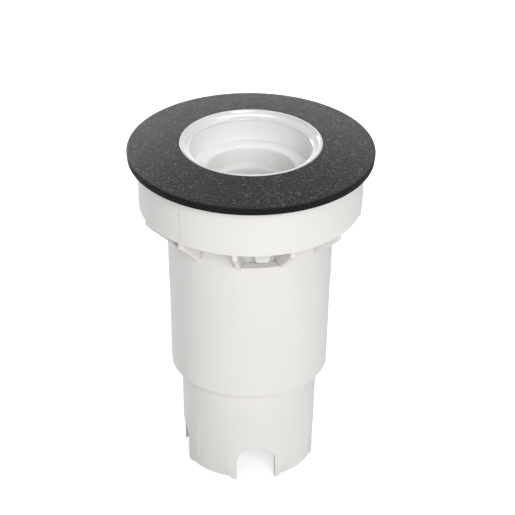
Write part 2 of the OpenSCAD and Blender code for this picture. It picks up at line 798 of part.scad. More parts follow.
module driver_board()
    color("#2f6b46") difference() {
        translate([0, 0, driver_z]) cylinder(r = driver_d / 2, h = board_t);
        translate([0, 0, driver_z - 1]) cylinder(r = 4, h = board_t + 2);
        around(3) rod(post_place_r, board_screw_d / 2 + 0.1, driver_z - 1, driver_top_z + 1);
    }

module driver_screws()
    color(steel) around(3) screw(post_place_r, board_screw_d / 2, driver_top_z, driver_z - 5);

module driver_capacitors()
    color("#35435e") for (place = capacitor_places)
        translate([place[0], place[1], driver_top_z]) cylinder(r = capacitor_d / 2, h = capacitor_h);

module driver_choke()
    color("#7a4a2a") translate([choke_place[0], choke_place[1], driver_top_z]) union() {
        cylinder(r = choke_r, h = choke_end_t);
        cylinder(r = choke_core_r, h = choke_h);
        translate([0, 0, choke_h - choke_end_t]) cylinder(r = choke_r, h = choke_end_t);
    }

module driver_chips()
    color("#1f1f21") for (chip = chip_blocks)
        translate([chip[0], chip[1], driver_top_z]) cube([chip[2], chip[3], chip[4]]);

module terminal_block()
    color("#3f8f5a") translate([terminal_place[0], terminal_place[1], driver_top_z]) difference() {
        cube(terminal_size);
        for (side = [-1, 1]) translate([(terminal_size[0] + side * terminal_pitch) / 2, 0, 0]) {
            translate([0, -1, 2.6]) rotate([-90, 0, 0]) cylinder(r = 1.2, h = 5, $fn = 24);
            translate([0, 4.8, 6]) cylinder(r = 1.6, h = 4, $fn = 24);
        }
    }

// Two leads that run straight from the driver board up to the lamp board.
module led_leads()
    color("#b3352f") for (a = lead_angles) rotate([0, 0, a]) {
        rod(lead_place_r, lead_r, driver_top_z, board_top_z + 0.3);
        rod(lead_place_r, lead_r + 0.6, board_top_z, board_top_z + 0.6);
    }

module rear_cap()
    color(white) difference() {
        union() {
            translate([0, 0, cap_z]) cylinder(r = housing_r, h = cap_t);
            difference() {
                turned([
                    [spigot_in_r, housing_z - bite],
                    [spigot_out_r, housing_z - bite],
                    [spigot_out_r, housing_z + cap_spigot_h / 2 - ring_section],
                    [spigot_out_r - ring_groove, housing_z + cap_spigot_h / 2 - ring_section],
                    [spigot_out_r - ring_groove, housing_z + cap_spigot_h / 2 + ring_section],
                    [spigot_out_r, housing_z + cap_spigot_h / 2 + ring_section],
                    [spigot_out_r, housing_z + cap_spigot_h],
                    [spigot_in_r, housing_z + cap_spigot_h]]);
            }
            around(3) rod(post_place_r, post_r, housing_z - bite, driver_z);
        }
        translate([0, 0, cap_z - 1]) cylinder(r = gland_d / 2 + fit_gap, h = cap_t + 2);
        around(3, 60) rod(cap_screw_r, screw_d / 2 + 0.2, cap_z - 1, housing_z + 1);
        around(3, 60) rod(cap_screw_r, head_r + 0.3, cap_z - 1, cap_z + head_h + 0.6);
        around(3) rod(post_place_r, board_screw_d / 2, driver_z - 6, driver_z + 1);
        rotate([0, 0, vent_angle]) rod(vent_place_r, 3, cap_z - 1, housing_z + 1);
    }

module cap_o_ring()
    color(rubber) translate([0, 0, housing_z + cap_spigot_h / 2]) rotate_extrude()
        translate([spigot_out_r - ring_groove + ring_section + 0.15, 0])
            circle(r = ring_section, $fn = 32);

module cap_screws()
    color(steel) around(3, 60) {
        rod(cap_screw_r, head_r, cap_z + 0.6, cap_z + head_h + 0.6);
        rod(cap_screw_r, screw_d / 2, cap_z + head_h + 0.5, driver_z - 2);
    }

module gland_washer()
    color(rubber) ring(gland_flats / 2, gland_d / 2 + 0.2, cap_z - gland_washer_t, cap_z);

module gland_body()
    color("#55575a") difference() {
        union() {
            hexagon(gland_flats, gland_hex_z, gland_hex_z + gland_hex_t);
            translate([0, 0, gland_hex_z + gland_hex_t - bite])
                cylinder(r = gland_d / 2, h = gland_washer_t + cap_t + locknut_t + 0.8 + bite);
            translate([0, 0, gland_tail_z]) cylinder(r = gland_d / 2, h = gland_tail_h + bite);
        }
        translate([0, 0, gland_tail_z - 1]) cylinder(r = cable_bore / 2 + 0.2, h = 60);
        translate([0, 0, gland_tail_z - 1]) cylinder(r = gland_seal_r + 0.1, h = 7);
    }

module gland_locknut()
    color("#55575a") difference() {
        hexagon(gland_flats, housing_z, housing_z + locknut_t);
        translate([0, 0, housing_z - 1]) cylinder(r = gland_d / 2 + fit_gap, h = locknut_t + 2);
    }

module gland_seal()
    color(rubber) ring(gland_seal_r, cable_bore / 2 - 0.2, gland_tail_z - 0.6, gland_tail_z + 5.9);

module gland_nut()
    color("#55575a") difference() {
        hexagon(gland_flats, gland_nut_z, gland_nut_top_z);
        translate([0, 0, gland_nut_z - 1]) cylinder(r = cable_bore / 2, h = 60);
        translate([0, 0, gland_nut_z + gland_nut_wall])
            cylinder(r = gland_d / 2 + fit_gap, h = 60);
    }

module vent_plug()
    color(black) rotate([0, 0, vent_angle]) {
        rod(vent_place_r, 4.4, cap_z - 2, cap_z);
        rod(vent_place_r, 2.9, cap_z - 0.01, housing_z + 1.6);
    }

module bezel_ring()
    color("#f6f7f7") union() {
        turned([
            [mouth_r, mouth_z - bezel_lip_t],
            [mouth_r, mouth_z],
            [bezel_r - bezel_band, bezel_top_z],
            [bezel_r - 0.3, bezel_top_z],
            [bezel_r, bezel_top_z - 0.3],
            [bezel_r, bezel_flange_top],
            [bezel_flange_r, bezel_flange_top],
            [bezel_flange_r, bezel_flange_z],
            [bezel_skirt_r + bezel_skirt_wall, bezel_flange_z],
            [bezel_skirt_r + bezel_skirt_wall, bezel_skirt_z],
            [bezel_skirt_r, bezel_skirt_z],
            [bezel_skirt_r, mouth_z - bezel_lip_t]]);
        around(3, 60) translate([bezel_skirt_r + bite, -tab_w / 2, tab_z])
            cube([tab_out_r - bezel_skirt_r - bite, tab_w, bezel_flange_z - tab_z + bite]);
    }

module bezel_snap_ring()
    color(steel) translate([0, 0, snap_z]) rotate([0, 0, 10]) rotate_extrude(angle = 340)
        translate([snap_in_r, 0]) square([snap_out_r - snap_in_r, snap_t]);

// One lug inside the trim ring's skirt, tilted to lie along the ramps.
module lug() {
    length = 2 * lug_r * sin(lug_angle / 2);
    tilt = atan(trim_rise / (2 * PI * lug_r * trim_turn / 360));
    translate([lug_r, 0, skirt_z + lug_h / 2]) rotate([tilt, 0, 0])
        translate([0, -length / 2, -lug_h / 2]) cube([skirt_in_r - lug_r + 1, length, lug_h]);
}

module trim_ring()
    color(black) union() {
        turned([
            [trim_bore_r, lip_z],
            [trim_bore_r, trim_top_z - trim_chamfer],
            [trim_bore_r + trim_chamfer, trim_top_z],
            [trim_r - trim_chamfer, trim_edge_z],
            [trim_r, trim_edge_z - trim_chamfer],
            [trim_r - trim_draft, trim_z],
            [collar_top_r + slide_gap + 0.2, trim_z],
            [collar_top_r + slide_gap + 0.2, trim_z + rim_lap],
            [skirt_out_r, trim_z + rim_lap],
            [skirt_out_r, skirt_z],
            [skirt_in_r, skirt_z],
            [skirt_in_r, ceiling_z],
            [boss_out_r, ceiling_z],
            [boss_out_r, boss_z],
            [boss_in_r, boss_z],
            [boss_in_r, snap_z - fit_gap],
            [snap_out_r + 0.1, snap_z - fit_gap],
            [snap_out_r + 0.1, snap_z + snap_t + fit_gap],
            [boss_in_r, snap_z + snap_t + fit_gap],
            [boss_in_r, lip_z]]);
        around(ramp_count, ramp_first) lug();
    }

upper_sleeve();
lower_sleeve();
head_collar();
pocket_cheeks();
pocket_floors();
insert_guide();
seat_gasket();
lamp_housing();
locating_keys();
lock_ring();
neck_gasket();
baffle();
baffle_screws();
lens_glass();
lens_gasket();
lens_retainer();
collimator();
optic_holder();
led_chip();
led_board();
board_screws();
thermal_pad();
heat_sink();
heat_sink_screws();
insulator_disc();
driver_board();
driver_screws();
driver_capacitors();
driver_choke();
driver_chips();
terminal_block();
led_leads();
rear_cap();
cap_o_ring();
cap_screws();
gland_washer();
gland_body();
gland_locknut();
gland_seal();
gland_nut();
vent_plug();
bezel_ring();
bezel_snap_ring();
trim_ring();
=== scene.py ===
"""A recessed ground light: white mounting sleeve, lift-out lamp insert, twist-off charcoal trim."""
import math

import bmesh
import bpy
import numpy as np
from mathutils import Matrix, Vector


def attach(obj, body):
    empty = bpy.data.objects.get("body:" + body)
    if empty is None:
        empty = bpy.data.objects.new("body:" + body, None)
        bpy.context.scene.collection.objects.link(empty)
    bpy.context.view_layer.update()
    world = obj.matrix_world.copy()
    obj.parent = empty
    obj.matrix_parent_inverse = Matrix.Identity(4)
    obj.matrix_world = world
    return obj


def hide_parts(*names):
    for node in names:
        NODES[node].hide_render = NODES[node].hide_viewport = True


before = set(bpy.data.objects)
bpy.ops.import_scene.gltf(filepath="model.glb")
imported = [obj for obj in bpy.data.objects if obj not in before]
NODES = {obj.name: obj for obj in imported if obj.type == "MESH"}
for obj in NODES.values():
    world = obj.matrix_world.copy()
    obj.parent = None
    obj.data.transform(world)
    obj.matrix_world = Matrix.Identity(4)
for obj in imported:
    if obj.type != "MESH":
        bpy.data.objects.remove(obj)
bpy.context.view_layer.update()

# The photograph's camera: a long lens, 30 degrees above the light and turned so that the
# front arch shows a little to the right of the middle. The picture is square. Lengths here, in
# the studio and in finishes are in metres, and the sizes of the pieces are in millimetres.
PHOTO_SIDE = 515
FOCAL_PIXELS = 2458.8
SENSOR = 36.0
SIGHT_DISTANCE = 1.11907
SIGHT_ELEVATION = math.radians(30.197)
SIGHT_TURN = math.radians(-7.4)
SIGHT_ROLL = math.radians(0.634)
SIGHT_TARGET = Vector((0.003417, 0.0, 0.10237))

turn = Matrix.Rotation(SIGHT_TURN, 3, "Z")
towards_camera = turn @ Vector((0, -math.cos(SIGHT_ELEVATION), math.sin(SIGHT_ELEVATION)))
right = turn @ Vector((1, 0, 0))
up = towards_camera.cross(right)
rolled_right = math.cos(SIGHT_ROLL) * right + math.sin(SIGHT_ROLL) * up
rolled_up = towards_camera.cross(rolled_right)
camera_data = bpy.data.cameras.new("camera")
camera_data.sensor_width = SENSOR
camera_data.lens = SENSOR * FOCAL_PIXELS / PHOTO_SIDE
camera_data.clip_start = 0.05
camera = bpy.data.objects.new("camera", camera_data)
camera.matrix_world = Matrix.Translation(
    turn @ SIGHT_TARGET + SIGHT_DISTANCE * towards_camera
) @ Matrix((rolled_right, rolled_up, towards_camera)).transposed().to_4x4()
bpy.context.scene.collection.objects.link(camera)
bpy.context.scene.camera = camera
bpy.context.scene.view_settings.view_transform = "Standard"


# The studio: a white tent, whose mirror image is brightest low down behind the light, a broad
# soft box beside the camera, weak ones on the left and above on the right and behind, and a
# strip low behind. The pale floor keeps the light's shadow.
class Value:
    """A number that varies over a surface. Arithmetic on it adds Math nodes."""

    def __init__(self, finish, socket):
        self.finish, self.socket = finish, socket

    def math(self, operation, *operands):
        node = self.finish.node("ShaderNodeMath", {"operation": operation}, *operands)
        return Value(self.finish, node.outputs[0])

    def __add__(self, other):
        return self.math("ADD", self, other)

    def __sub__(self, other):
        return self.math("SUBTRACT", self, other)

    def __rsub__(self, other):
        return self.math("SUBTRACT", other, self)

    def __mul__(self, other):
        return self.math("MULTIPLY", self, other)

    def __pow__(self, other):
        return self.math("POWER", self, other)

    __radd__ = __add__
    __rmul__ = __mul__

    def size(self):
        return self.math("ABSOLUTE", self)

    def fraction(self):
        return self.math("FRACT", self)

    def at_least(self, other):
        return self.math("MAXIMUM", self, other)

    def at_most(self, other):
        return self.math("MINIMUM", self, other)

    def over(self, low, high):
        """0 below low, 1 above high and a smooth rise between them."""
        node = self.finish.node(
            "ShaderNodeMapRange", {"interpolation_type": "SMOOTHSTEP"}, self, low, high, 0.0, 1.0
        )
        return Value(self.finish, node.outputs[0])

    def within(self, half, soft):
        """1 where the value lies within half of 0 and 0 outside, with a soft edge."""
        return 1.0 - self.size().over(half - soft / 2, half + soft / 2)


class Finish:
    """One material or world. Its nodes come from node(), and its surface from surface()."""

    def __init__(self, owner):
        self.owner = owner
        owner.use_nodes = True
        self.tree = owner.node_tree
        self.tree.nodes.clear()
        self.coordinates = None

    def node(self, kind, settings=None, *inputs, **named):
        """A node of that kind, its settings made first, and then its sockets' values or links.
        An underscore in a socket's name stands for a space."""
        node = self.tree.nodes.new(kind)
        for name, value in (settings or {}).items():
            setattr(node, name, value)
        sockets = list(enumerate(inputs)) + [(n.replace("_", " "), v) for n, v in named.items()]
        for name, value in sockets:
            if value is None:
                continue
            if isinstance(value, Value):
                self.tree.links.new(value.socket, node.inputs[name])
            elif isinstance(value, bpy.types.NodeSocket):
                self.tree.links.new(value, node.inputs[name])
            else:
                node.inputs[name].default_value = value
        return node

    def place(self, stretch=(1, 1, 1), turned=(0, 0, 0), centre=(0, 0, 0)):
        """Object coordinates in metres, moved to a centre, stretched and turned."""
        if self.coordinates is None:
            self.coordinates = self.node("ShaderNodeTexCoord").outputs["Object"]
        shift = tuple(-c for c in centre)
        moved = self.node("ShaderNodeMapping", None, self.coordinates, Location=shift).outputs[0]
        return self.node("ShaderNodeMapping", None, moved, Scale=stretch,
                         Rotation=turned).outputs[0]

    def noise(self, size, detail=2.0, rough=0.5, stretch=(1, 1, 1)):
        """Cloudy noise whose lumps are about that size in metres, from 0 to 1."""
        node = self.node("ShaderNodeTexNoise", None, Vector=self.place(stretch),
                         Scale=1 / size, Detail=detail, Roughness=rough)
        return Value(self, node.outputs[0])

    def grains(self, size):
        """Cells of that size: the distance to the nearest grain, and a random value for each."""
        node = self.node("ShaderNodeTexVoronoi", None, Vector=self.place(), Scale=1 / size)
        pick = self.node("ShaderNodeSeparateColor", None, node.outputs["Color"])
        return Value(self, node.outputs["Distance"]), Value(self, pick.outputs[0])

    def axes(self, turned=0.0, centre=(0, 0, 0)):
        """x, y and z as Values in metres, from a centre, with the axes turned by an angle."""
        node = self.node("ShaderNodeSeparateXYZ", None,
                         self.place(turned=(0, 0, turned), centre=centre))
        return [Value(self, s) for s in node.outputs]

    def reach(self, centre=(0, 0, 0)):
        """The distance from the vertical line through a centre, in metres."""
        x, y, _ = self.axes(centre=centre)
        return (x * x + y * y) ** 0.5

    def tint(self, amount, low, high):
        """The colour between low and high, by an amount from 0 to 1."""
        node = self.node("ShaderNodeMix", {"data_type": "RGBA"})
        self.tree.links.new(amount.socket, node.inputs[0])
        for index, colour in ((6, low), (7, high)):
            if isinstance(colour, bpy.types.NodeSocket):
                self.tree.links.new(colour, node.inputs[index])
            else:
                node.inputs[index].default_value = (*colour, 1)
        return node.outputs[2]

    def bump(self, height, depth, under=None):
        """A normal roughened by a height from 0 to 1 that stands for that depth in metres."""
        return self.node("ShaderNodeBump", None, Strength=1.0, Distance=depth, Height=height,
                         Normal=under).outputs[0]

    def surface(self, **sockets):
        """The principled surface that ends the material."""
        self.ends(self.node("ShaderNodeBsdfPrincipled", None, **sockets).outputs[0])
        return self.owner

    def ends(self, socket):
        self.node("ShaderNodeOutputMaterial", None, socket)


TENT_SIDE, TENT_TOP = 0.20, 0.30
MIRRORED_ROUND, MIRRORED_BEHIND = 0.34, 2.6
FLOOR_GLOW, FLOOR_HALF = 0.60, 4.0
world = bpy.data.worlds.new("tent")
bpy.context.scene.world = world
tent = Finish(world)
ray = tent.node("ShaderNodeLightPath")
seen = Value(tent, ray.outputs["Is Camera Ray"]).at_least(
    Value(tent, ray.outputs["Is Transmission Ray"]))
gloss = Value(tent, ray.outputs["Is Glossy Ray"])
way = tent.node("ShaderNodeSeparateXYZ", None, tent.node("ShaderNodeTexCoord").outputs["Generated"])
height = Value(tent, way.outputs[2])
soft = TENT_SIDE + (TENT_TOP - TENT_SIDE) * height.over(0.0, 0.9)
behind = Value(tent, way.outputs[1]).over(0.3, 0.95) * (1.0 - height.over(0.05, 0.5))
mirrored = MIRRORED_ROUND + MIRRORED_BEHIND * behind
strength = seen + (1.0 - seen) * (gloss * mirrored + (1.0 - gloss) * soft)
air = tent.node("ShaderNodeBackground", None, (1, 1, 1, 1), strength)
tent.node("ShaderNodeOutputWorld", None, air.outputs[0])


LAMP_AIM = Vector((0, 0, 0.09))


def soft_box(name, width, height, azimuth, elevation, distance, watts):
    """A rectangular lamp that faces the middle of the light. It stands at an azimuth from the
    front, an elevation and a distance from there."""
    lamp = bpy.data.lights.new(name, "AREA")
    lamp.shape, lamp.size, lamp.size_y, lamp.energy = "RECTANGLE", width, height, watts
    a, e = math.radians(azimuth), math.radians(elevation)
    back = Vector((math.sin(a) * math.cos(e), -math.cos(a) * math.cos(e), math.sin(e)))
    box = bpy.data.objects.new(name, lamp)
    box.matrix_world = (Matrix.Translation(LAMP_AIM + distance * back)
                        @ back.to_track_quat("Z", "Y").to_matrix().to_4x4())
    bpy.context.scene.collection.objects.link(box)


soft_box("key_box", 0.9, 0.7, 8.0, 30.0, 1.7, 15.0)
soft_box("left_box", 0.7, 0.7, -35.0, 35.0, 1.7, 2.3)
soft_box("top_box", 0.6, 0.6, 95.0, 62.0, 1.5, 3.5)
soft_box("rim_strip", 0.3, 0.5, -150.0, 8.0, 1.5, 9.0)
soft_box("bowl_box", 0.5, 0.5, 170.0, 65.0, 1.5, 4.0)

floor_mesh = bpy.data.meshes.new("floor")
floor_mesh.from_pydata([(x * FLOOR_HALF, y * FLOOR_HALF, 0)
                        for x, y in ((-1, -1), (1, -1), (1, 1), (-1, 1))], [], [(0, 1, 2, 3)])
floor = bpy.data.objects.new("floor", floor_mesh)
bpy.context.scene.collection.objects.link(floor)
paper = Finish(bpy.data.materials.new("floor_paper"))
lit = paper.node("ShaderNodeBsdfDiffuse", None, (0.86, 0.86, 0.86, 1))
glow = paper.node("ShaderNodeEmission", None, (1, 1, 1, 1), FLOOR_GLOW)
both = paper.node("ShaderNodeAddShader", None, lit.outputs[0], glow.outputs[0])
ray = paper.node("ShaderNodeLightPath")
seen = Value(paper, ray.outputs["Is Camera Ray"]).at_least(
    Value(paper, ray.outputs["Is Transmission Ray"]))
paper.ends(paper.node("ShaderNodeMixShader", None, seen, lit.outputs[0],
                      both.outputs[0]).outputs[0])
floor_mesh.materials.append(paper.owner)


# The head collar: the widest white moulding, in polypropylene from a two-part tool. A faint
# bead stands where the halves of the tool met, at the front left. It is welded to the tube.
def shaded(colour, share, white=0.0):
    """A colour times a share, with that much white added."""
    return tuple(c * share + white for c in colour)


def moulded_white(name, colour, dull, grain=0.00035, bead=None):
    """White moulded plastic: faint clouds in the colour, a spark-eroded skin and a satin gloss
    that varies. bead is the azimuth of a fine upright parting bead."""
    look = Finish(bpy.data.materials.new(name))
    clouds = look.noise(0.030, 3.0)
    streaks = look.noise(0.008, 2.0, 0.5, (1, 1, 0.15))
    shade = (clouds - 0.5) * 0.9 + (streaks - 0.5) * 0.4 + 0.55
    skin = look.bump(look.noise(grain, 1.0), 0.000010)
    if bead is not None:
        across, along, _ = look.axes(turned=math.radians(-bead))
        ridge = across.within(0.00026, 0.0002) * (1.0 - along.over(-0.002, -0.001))
        skin = look.bump(ridge, 0.00018, skin)
    smear = look.noise(0.006, 3.0)
    return look.surface(Base_Color=look.tint(shade, shaded(colour, 0.955), colour), Normal=skin,
                        Roughness=(smear - 0.5) * 0.12 + dull)


def fitted(mesh, sharp, body, slot, material, *nodes):
    """A piece from a finished mesh, smooth where its faces meet at less than sharp degrees. It
    gets its material and its body, and stands for those CAD nodes. slot is not used."""
    mesh.shade_smooth()
    mesh.set_sharp_from_angle(angle=math.radians(sharp))
    mesh.materials.append(material)
    piece = bpy.data.objects.new(mesh.name, mesh)
    bpy.context.scene.collection.objects.link(piece)
    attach(piece, body)
    if nodes:
        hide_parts(*nodes)
    return piece


def softened(node, name, width, slot, material, body="sleeve", steps=2):
    """A copy of a CAD node with its doubles merged, its flats joined and its edges eased by a
    small round of that width in metres."""
    mesh = NODES[node].data.copy()
    mesh.name = name
    mesh.materials.clear()
    work = bmesh.new()
    work.from_mesh(mesh)
    bmesh.ops.remove_doubles(work, verts=work.verts, dist=1e-6)
    bmesh.ops.dissolve_limit(work, angle_limit=math.radians(0.4), verts=work.verts,
                             edges=work.edges)
    work.to_mesh(mesh)
    work.free()
    ease = fitted(mesh, EDGE_ANGLE, body, slot, material, node).modifiers.new("ease", "BEVEL")
    ease.width, ease.segments, ease.limit_method = width, steps, "ANGLE"
    ease.angle_limit, ease.harden_normals = math.radians(EDGE_ANGLE), True
    ease.use_clamp_overlap = True


BEAD_AZIMUTH, EDGE_ANGLE = -44.3, 32.0
# Painted light: the collar is the tubes' plastic, but its colour is made a little brighter than
# theirs to stand in for more light on it.
collar_white_painted_brighter = moulded_white("collar_white_painted_brighter", (0.900, 0.881, 0.858), 0.42, bead=BEAD_AZIMUTH)
softened("head_collar", "collar_moulding", 0.0003, "sleeve_plastic", collar_white_painted_brighter)


# The two tubes of the sleeve: the upper one is grooved beside the pockets, and the lower one
# carries the shoulder, the cable arches with their thin panels, and the small feet. Both are
# injection moulded in the collar's plastic and meet in a welded spigot joint.
sleeve_white = moulded_white("sleeve_white", (0.875, 0.856, 0.834), 0.40)
softened("upper_sleeve", "upper_tube", 0.00020, "sleeve_plastic", sleeve_white)
softened("lower_sleeve", "lower_tube", 0.00030, "sleeve_plastic", sleeve_white)


# Under the collar, six pockets key it into the bedding. Each has two slanted cheeks and a
# floor, and between them arcs of wall guide the lamp. All are one moulding with the collar.
softened("pocket_cheeks", "cheek_fins", 0.00035, "sleeve_plastic", sleeve_white, steps=3)
softened("pocket_floors", "pocket_shelves", 0.00025, "sleeve_plastic", sleeve_white)
softened("insert_guide", "guide_arcs", 0.00020, "sleeve_plastic", sleeve_white)


# The trim ring: glass-filled nylon in charcoal, moulded with a sandy grain on its top and a
# finer one on its edge. Three lugs inside its skirt run under the ramps of the lock ring.
def spans(node):
    """The reach of a CAD node in millimetres: the least and the greatest distance of its points
    from the axis of the light, and its foot and top."""
    mesh = NODES[node].data
    points = np.empty(3 * len(mesh.vertices))
    mesh.vertices.foreach_get("co", points)
    x, y, z = points.reshape(-1, 3).T * 1000
    r = np.hypot(x, y)
    return [round(float(v), 3) for v in (r.min(), r.max(), z.min(), z.max())]


def eased(corners, reach, steps=4):
    """A closed outline with eased corners. Each corner C becomes the quadratic curve
    (1-t)^2 A + 2t(1-t) C + t^2 B, where A and B lie on its two edges at a distance of reach."""
    c = np.array(corners, float)
    reach = np.broadcast_to(np.array(reach, float), len(c))
    back, on = np.roll(c, 1, 0) - c, np.roll(c, -1, 0) - c
    back_length, on_length = np.linalg.norm(back, axis=1), np.linalg.norm(on, axis=1)
    r = np.minimum(reach, 0.48 * np.minimum(back_length, on_length))
    a = c + back * (r / back_length)[:, None]
    b = c + on * (r / on_length)[:, None]
    t = np.linspace(0, 1, steps + 1)[None, :, None]
    curve = (1 - t) ** 2 * a[:, None] + 2 * t * (1 - t) * c[:, None] + t ** 2 * b[:, None]
    return curve.reshape(-1, 2)


def grid_faces(rows, columns, row_loop=True, column_loop=True):
    """The quads of a grid of points. Each joins a point to the next in its row and column."""
    i = np.arange(rows if row_loop else rows - 1)[:, None]
    j = np.arange(columns if column_loop else columns - 1)[None, :]
    k, m = (i + 1) % rows, (j + 1) % columns
    i, j, k, m = np.broadcast_arrays(i, j, k, m)
    quads = np.stack([i * columns + j, k * columns + j, k * columns + m, i * columns + m], -1)
    return quads.reshape(-1, 4).tolist()


def turned(outline, count, start=0.0, sweep=360.0, rise=0.0):
    """A closed outline of (r, z) carried round the axis in count steps: the point at angle a
    stands at (r cos a, r sin a, z + rise s), where s runs from 0 to 1 over the sweep in degrees.
    A part turn is closed by the outline itself at both ends."""
    r, z = np.array(outline, float).T
    if np.sum(r * np.roll(z, -1) - np.roll(r, -1) * z) < 0:
        r, z = r[::-1], z[::-1]
    full = sweep >= 360.0
    s = np.arange(count if full else count + 1) / count
    a = np.radians(start + sweep * s)[:, None]
    points = np.stack([r * np.cos(a), r * np.sin(a), z + rise * s[:, None]], -1)
    faces = grid_faces(len(s), len(r), row_loop=full)
    if not full:
        last = (len(s) - 1) * len(r)
        faces += [list(range(len(r))), list(range(last + len(r) - 1, last - 1, -1))]
    return points.reshape(-1, 3), faces


def around(shape, count, first=0.0, place=0.0):
    """Copies of a shape, moved out along X by place and turned by equal angles about Z."""
    points, faces = shape
    a = np.radians(first + 360.0 * np.arange(count) / count)[:, None]
    x, y, z = points[:, 0] + place, points[:, 1], points[:, 2]
    turned_points = np.stack([x * np.cos(a) - y * np.sin(a), x * np.sin(a) + y * np.cos(a),
                              np.broadcast_to(z, (count, len(z)))], -1)
    return turned_points.reshape(-1, 3), [
        [i + n * len(points) for i in face] for n in range(count) for face in faces]


def moved(shape, x=0.0, y=0.0, z=0.0):
    """A shape moved by x, y and z."""
    return shape[0] + np.array([x, y, z]), shape[1]


def joined(*shapes):
    """Several shapes as one."""
    counts = np.cumsum([0] + [len(points) for points, _ in shapes])
    return (np.concatenate([points for points, _ in shapes]),
            [[i + n for i in face] for n, (_, faces) in zip(counts.tolist(), shapes)
             for face in faces])


def made(name, shape, body, slot, material, *nodes, sharp=35):
    """A piece from a shape in millimetres. Seams and poles are merged, and edges flatter than
    sharp degrees are smooth."""
    points, faces = shape
    mesh = bpy.data.meshes.new(name)
    mesh.from_pydata((points * 0.001).tolist(), [], faces)
    work = bmesh.new()
    work.from_mesh(mesh)
    bmesh.ops.remove_doubles(work, verts=work.verts, dist=2e-7)
    bmesh.ops.dissolve_degenerate(work, edges=work.edges, dist=1e-8)
    work.to_mesh(mesh)
    work.free()
    fitted(mesh, sharp, body, slot, material, *nodes)


def sandy_charcoal(name, colour, edge):
    """Charcoal nylon: a sandy skin of small grains, with painted glints on some grains, most on
    top.
    Below edge, a height in metres, the skin is finer and darker, and a thin painted highlight runs
    along edge itself."""
    look = Finish(bpy.data.materials.new(name))
    _, _, z = look.axes()
    above = z - edge
    top = above.over(-0.0002, 0.0003)
    near, pick = look.grains(0.00080)
    fine_near, fine_pick = look.grains(0.00045)
    clouds = look.noise(0.004, 3.0)
    # Painted glints: bright grains in the colour stand in for highlights, with more of them on the
    # top.
    glint = (pick ** 6.0) * (1.0 - near.over(0.15, 0.6))
    fine_glint = (fine_pick ** 8.0) * (1.0 - fine_near.over(0.15, 0.6))
    grit = look.noise(0.00085, 2.0, 0.7)
    pale = look.tint(top, shaded(colour, 1.5), shaded(colour, 6.8))
    body = look.tint(grit.over(0.36, 0.70) * 0.85 + clouds * 0.15, shaded(colour, 0.1), pale)
    # Painted highlight: a thin pale line in the colour along the outer edge of the top.
    painted_edge_highlight = (above + 0.00005).within(0.00025, 0.0003) * 0.07
    # light holds the painted glints and the painted edge highlight, which are mixed into the colour
    # below.
    light = ((glint + fine_glint * 0.6) * (top * 0.8 + 0.1) + painted_edge_highlight).at_most(1.0)
    skin = look.bump((grit * 0.8 + near * 0.2) * (top * 0.7 + 0.3), 0.00075)
    dull = (clouds - 0.5) * 0.16 + 0.66 - top * 0.2 - light * 0.1 + (grit - 0.5) * 0.45 * top
    return look.surface(Base_Color=look.tint(light, body, (0.25, 0.25, 0.26)), Normal=skin,
                        Roughness=dull, Specular_IOR_Level=0.22)


TRIM_BORE_R, TRIM_R, _, TRIM_TOP = spans("trim_ring")
_, _, SNAP_LOW, SNAP_TOP = spans("bezel_snap_ring")
TRIM_CROWN, TRIM_EDGE, TRIM_DRAFT = 3.2, 3.6, 0.4
EDGE_TOP = TRIM_TOP - TRIM_CROWN
EDGE_LOW = EDGE_TOP - TRIM_EDGE
RIM_R, RIM_LAP = 51.2, 0.6
SKIRT_IN_R, SKIRT_OUT_R, SKIRT_LOW = 44.4, 47.4, 151.6
BOSS_IN_R, BOSS_OUT_R, BOSS_LOW = 34.3, 35.5, 155.5
CEILING, LIP_LOW = 158.1, 158.9
GROOVE_R, GROOVE_GAP = 34.9, 0.1
charcoal = sandy_charcoal("sandy_charcoal", (0.0040, 0.0041, 0.0046), EDGE_TOP / 1000)
trim_outline = eased([
    (TRIM_BORE_R, LIP_LOW), (TRIM_BORE_R, TRIM_TOP), (TRIM_R, EDGE_TOP),
    (TRIM_R - TRIM_DRAFT, EDGE_LOW), (RIM_R, EDGE_LOW), (RIM_R, EDGE_LOW + RIM_LAP),
    (SKIRT_OUT_R, EDGE_LOW + RIM_LAP), (SKIRT_OUT_R, SKIRT_LOW), (SKIRT_IN_R, SKIRT_LOW),
    (SKIRT_IN_R, CEILING), (BOSS_OUT_R, CEILING), (BOSS_OUT_R, BOSS_LOW),
    (BOSS_IN_R, BOSS_LOW), (BOSS_IN_R, SNAP_LOW - GROOVE_GAP), (GROOVE_R, SNAP_LOW - GROOVE_GAP),
    (GROOVE_R, SNAP_TOP + GROOVE_GAP), (BOSS_IN_R, SNAP_TOP + GROOVE_GAP), (BOSS_IN_R, LIP_LOW)],
    [0.2, 0.35, 0.75, 0.3, 0.15, 0.15, 0.2, 0.5, 0.5, 0.3, 0.4, 0.2, 0.2, 0.1, 0.1, 0.1, 0.1, 0.1])
made("trim_face", turned(trim_outline, 256), "trim", "trim_charcoal", charcoal, "trim_ring")

LUG_IN_R, LUG_ROOT_R, LUG_HEIGHT = 42.36, SKIRT_IN_R + 0.6, 1.6
LUG_COUNT, LUG_FIRST, LUG_SWEEP = 3, 30.0, 12.0
TRIM_RISE, TRIM_SWEEP = 2.4, 50.0
lug_rise = LUG_SWEEP * TRIM_RISE / TRIM_SWEEP
lug_outline = eased([
    (LUG_IN_R, SKIRT_LOW), (LUG_ROOT_R, SKIRT_LOW), (LUG_ROOT_R, SKIRT_LOW + LUG_HEIGHT),
    (LUG_IN_R, SKIRT_LOW + LUG_HEIGHT)], [0.3, 0.1, 0.1, 0.3], 3)
lug = moved(turned(lug_outline, 12, -LUG_SWEEP / 2, LUG_SWEEP, lug_rise), z=-lug_rise / 2)
made("trim_lugs", around(lug, LUG_COUNT, LUG_FIRST), "trim", "trim_charcoal", charcoal)


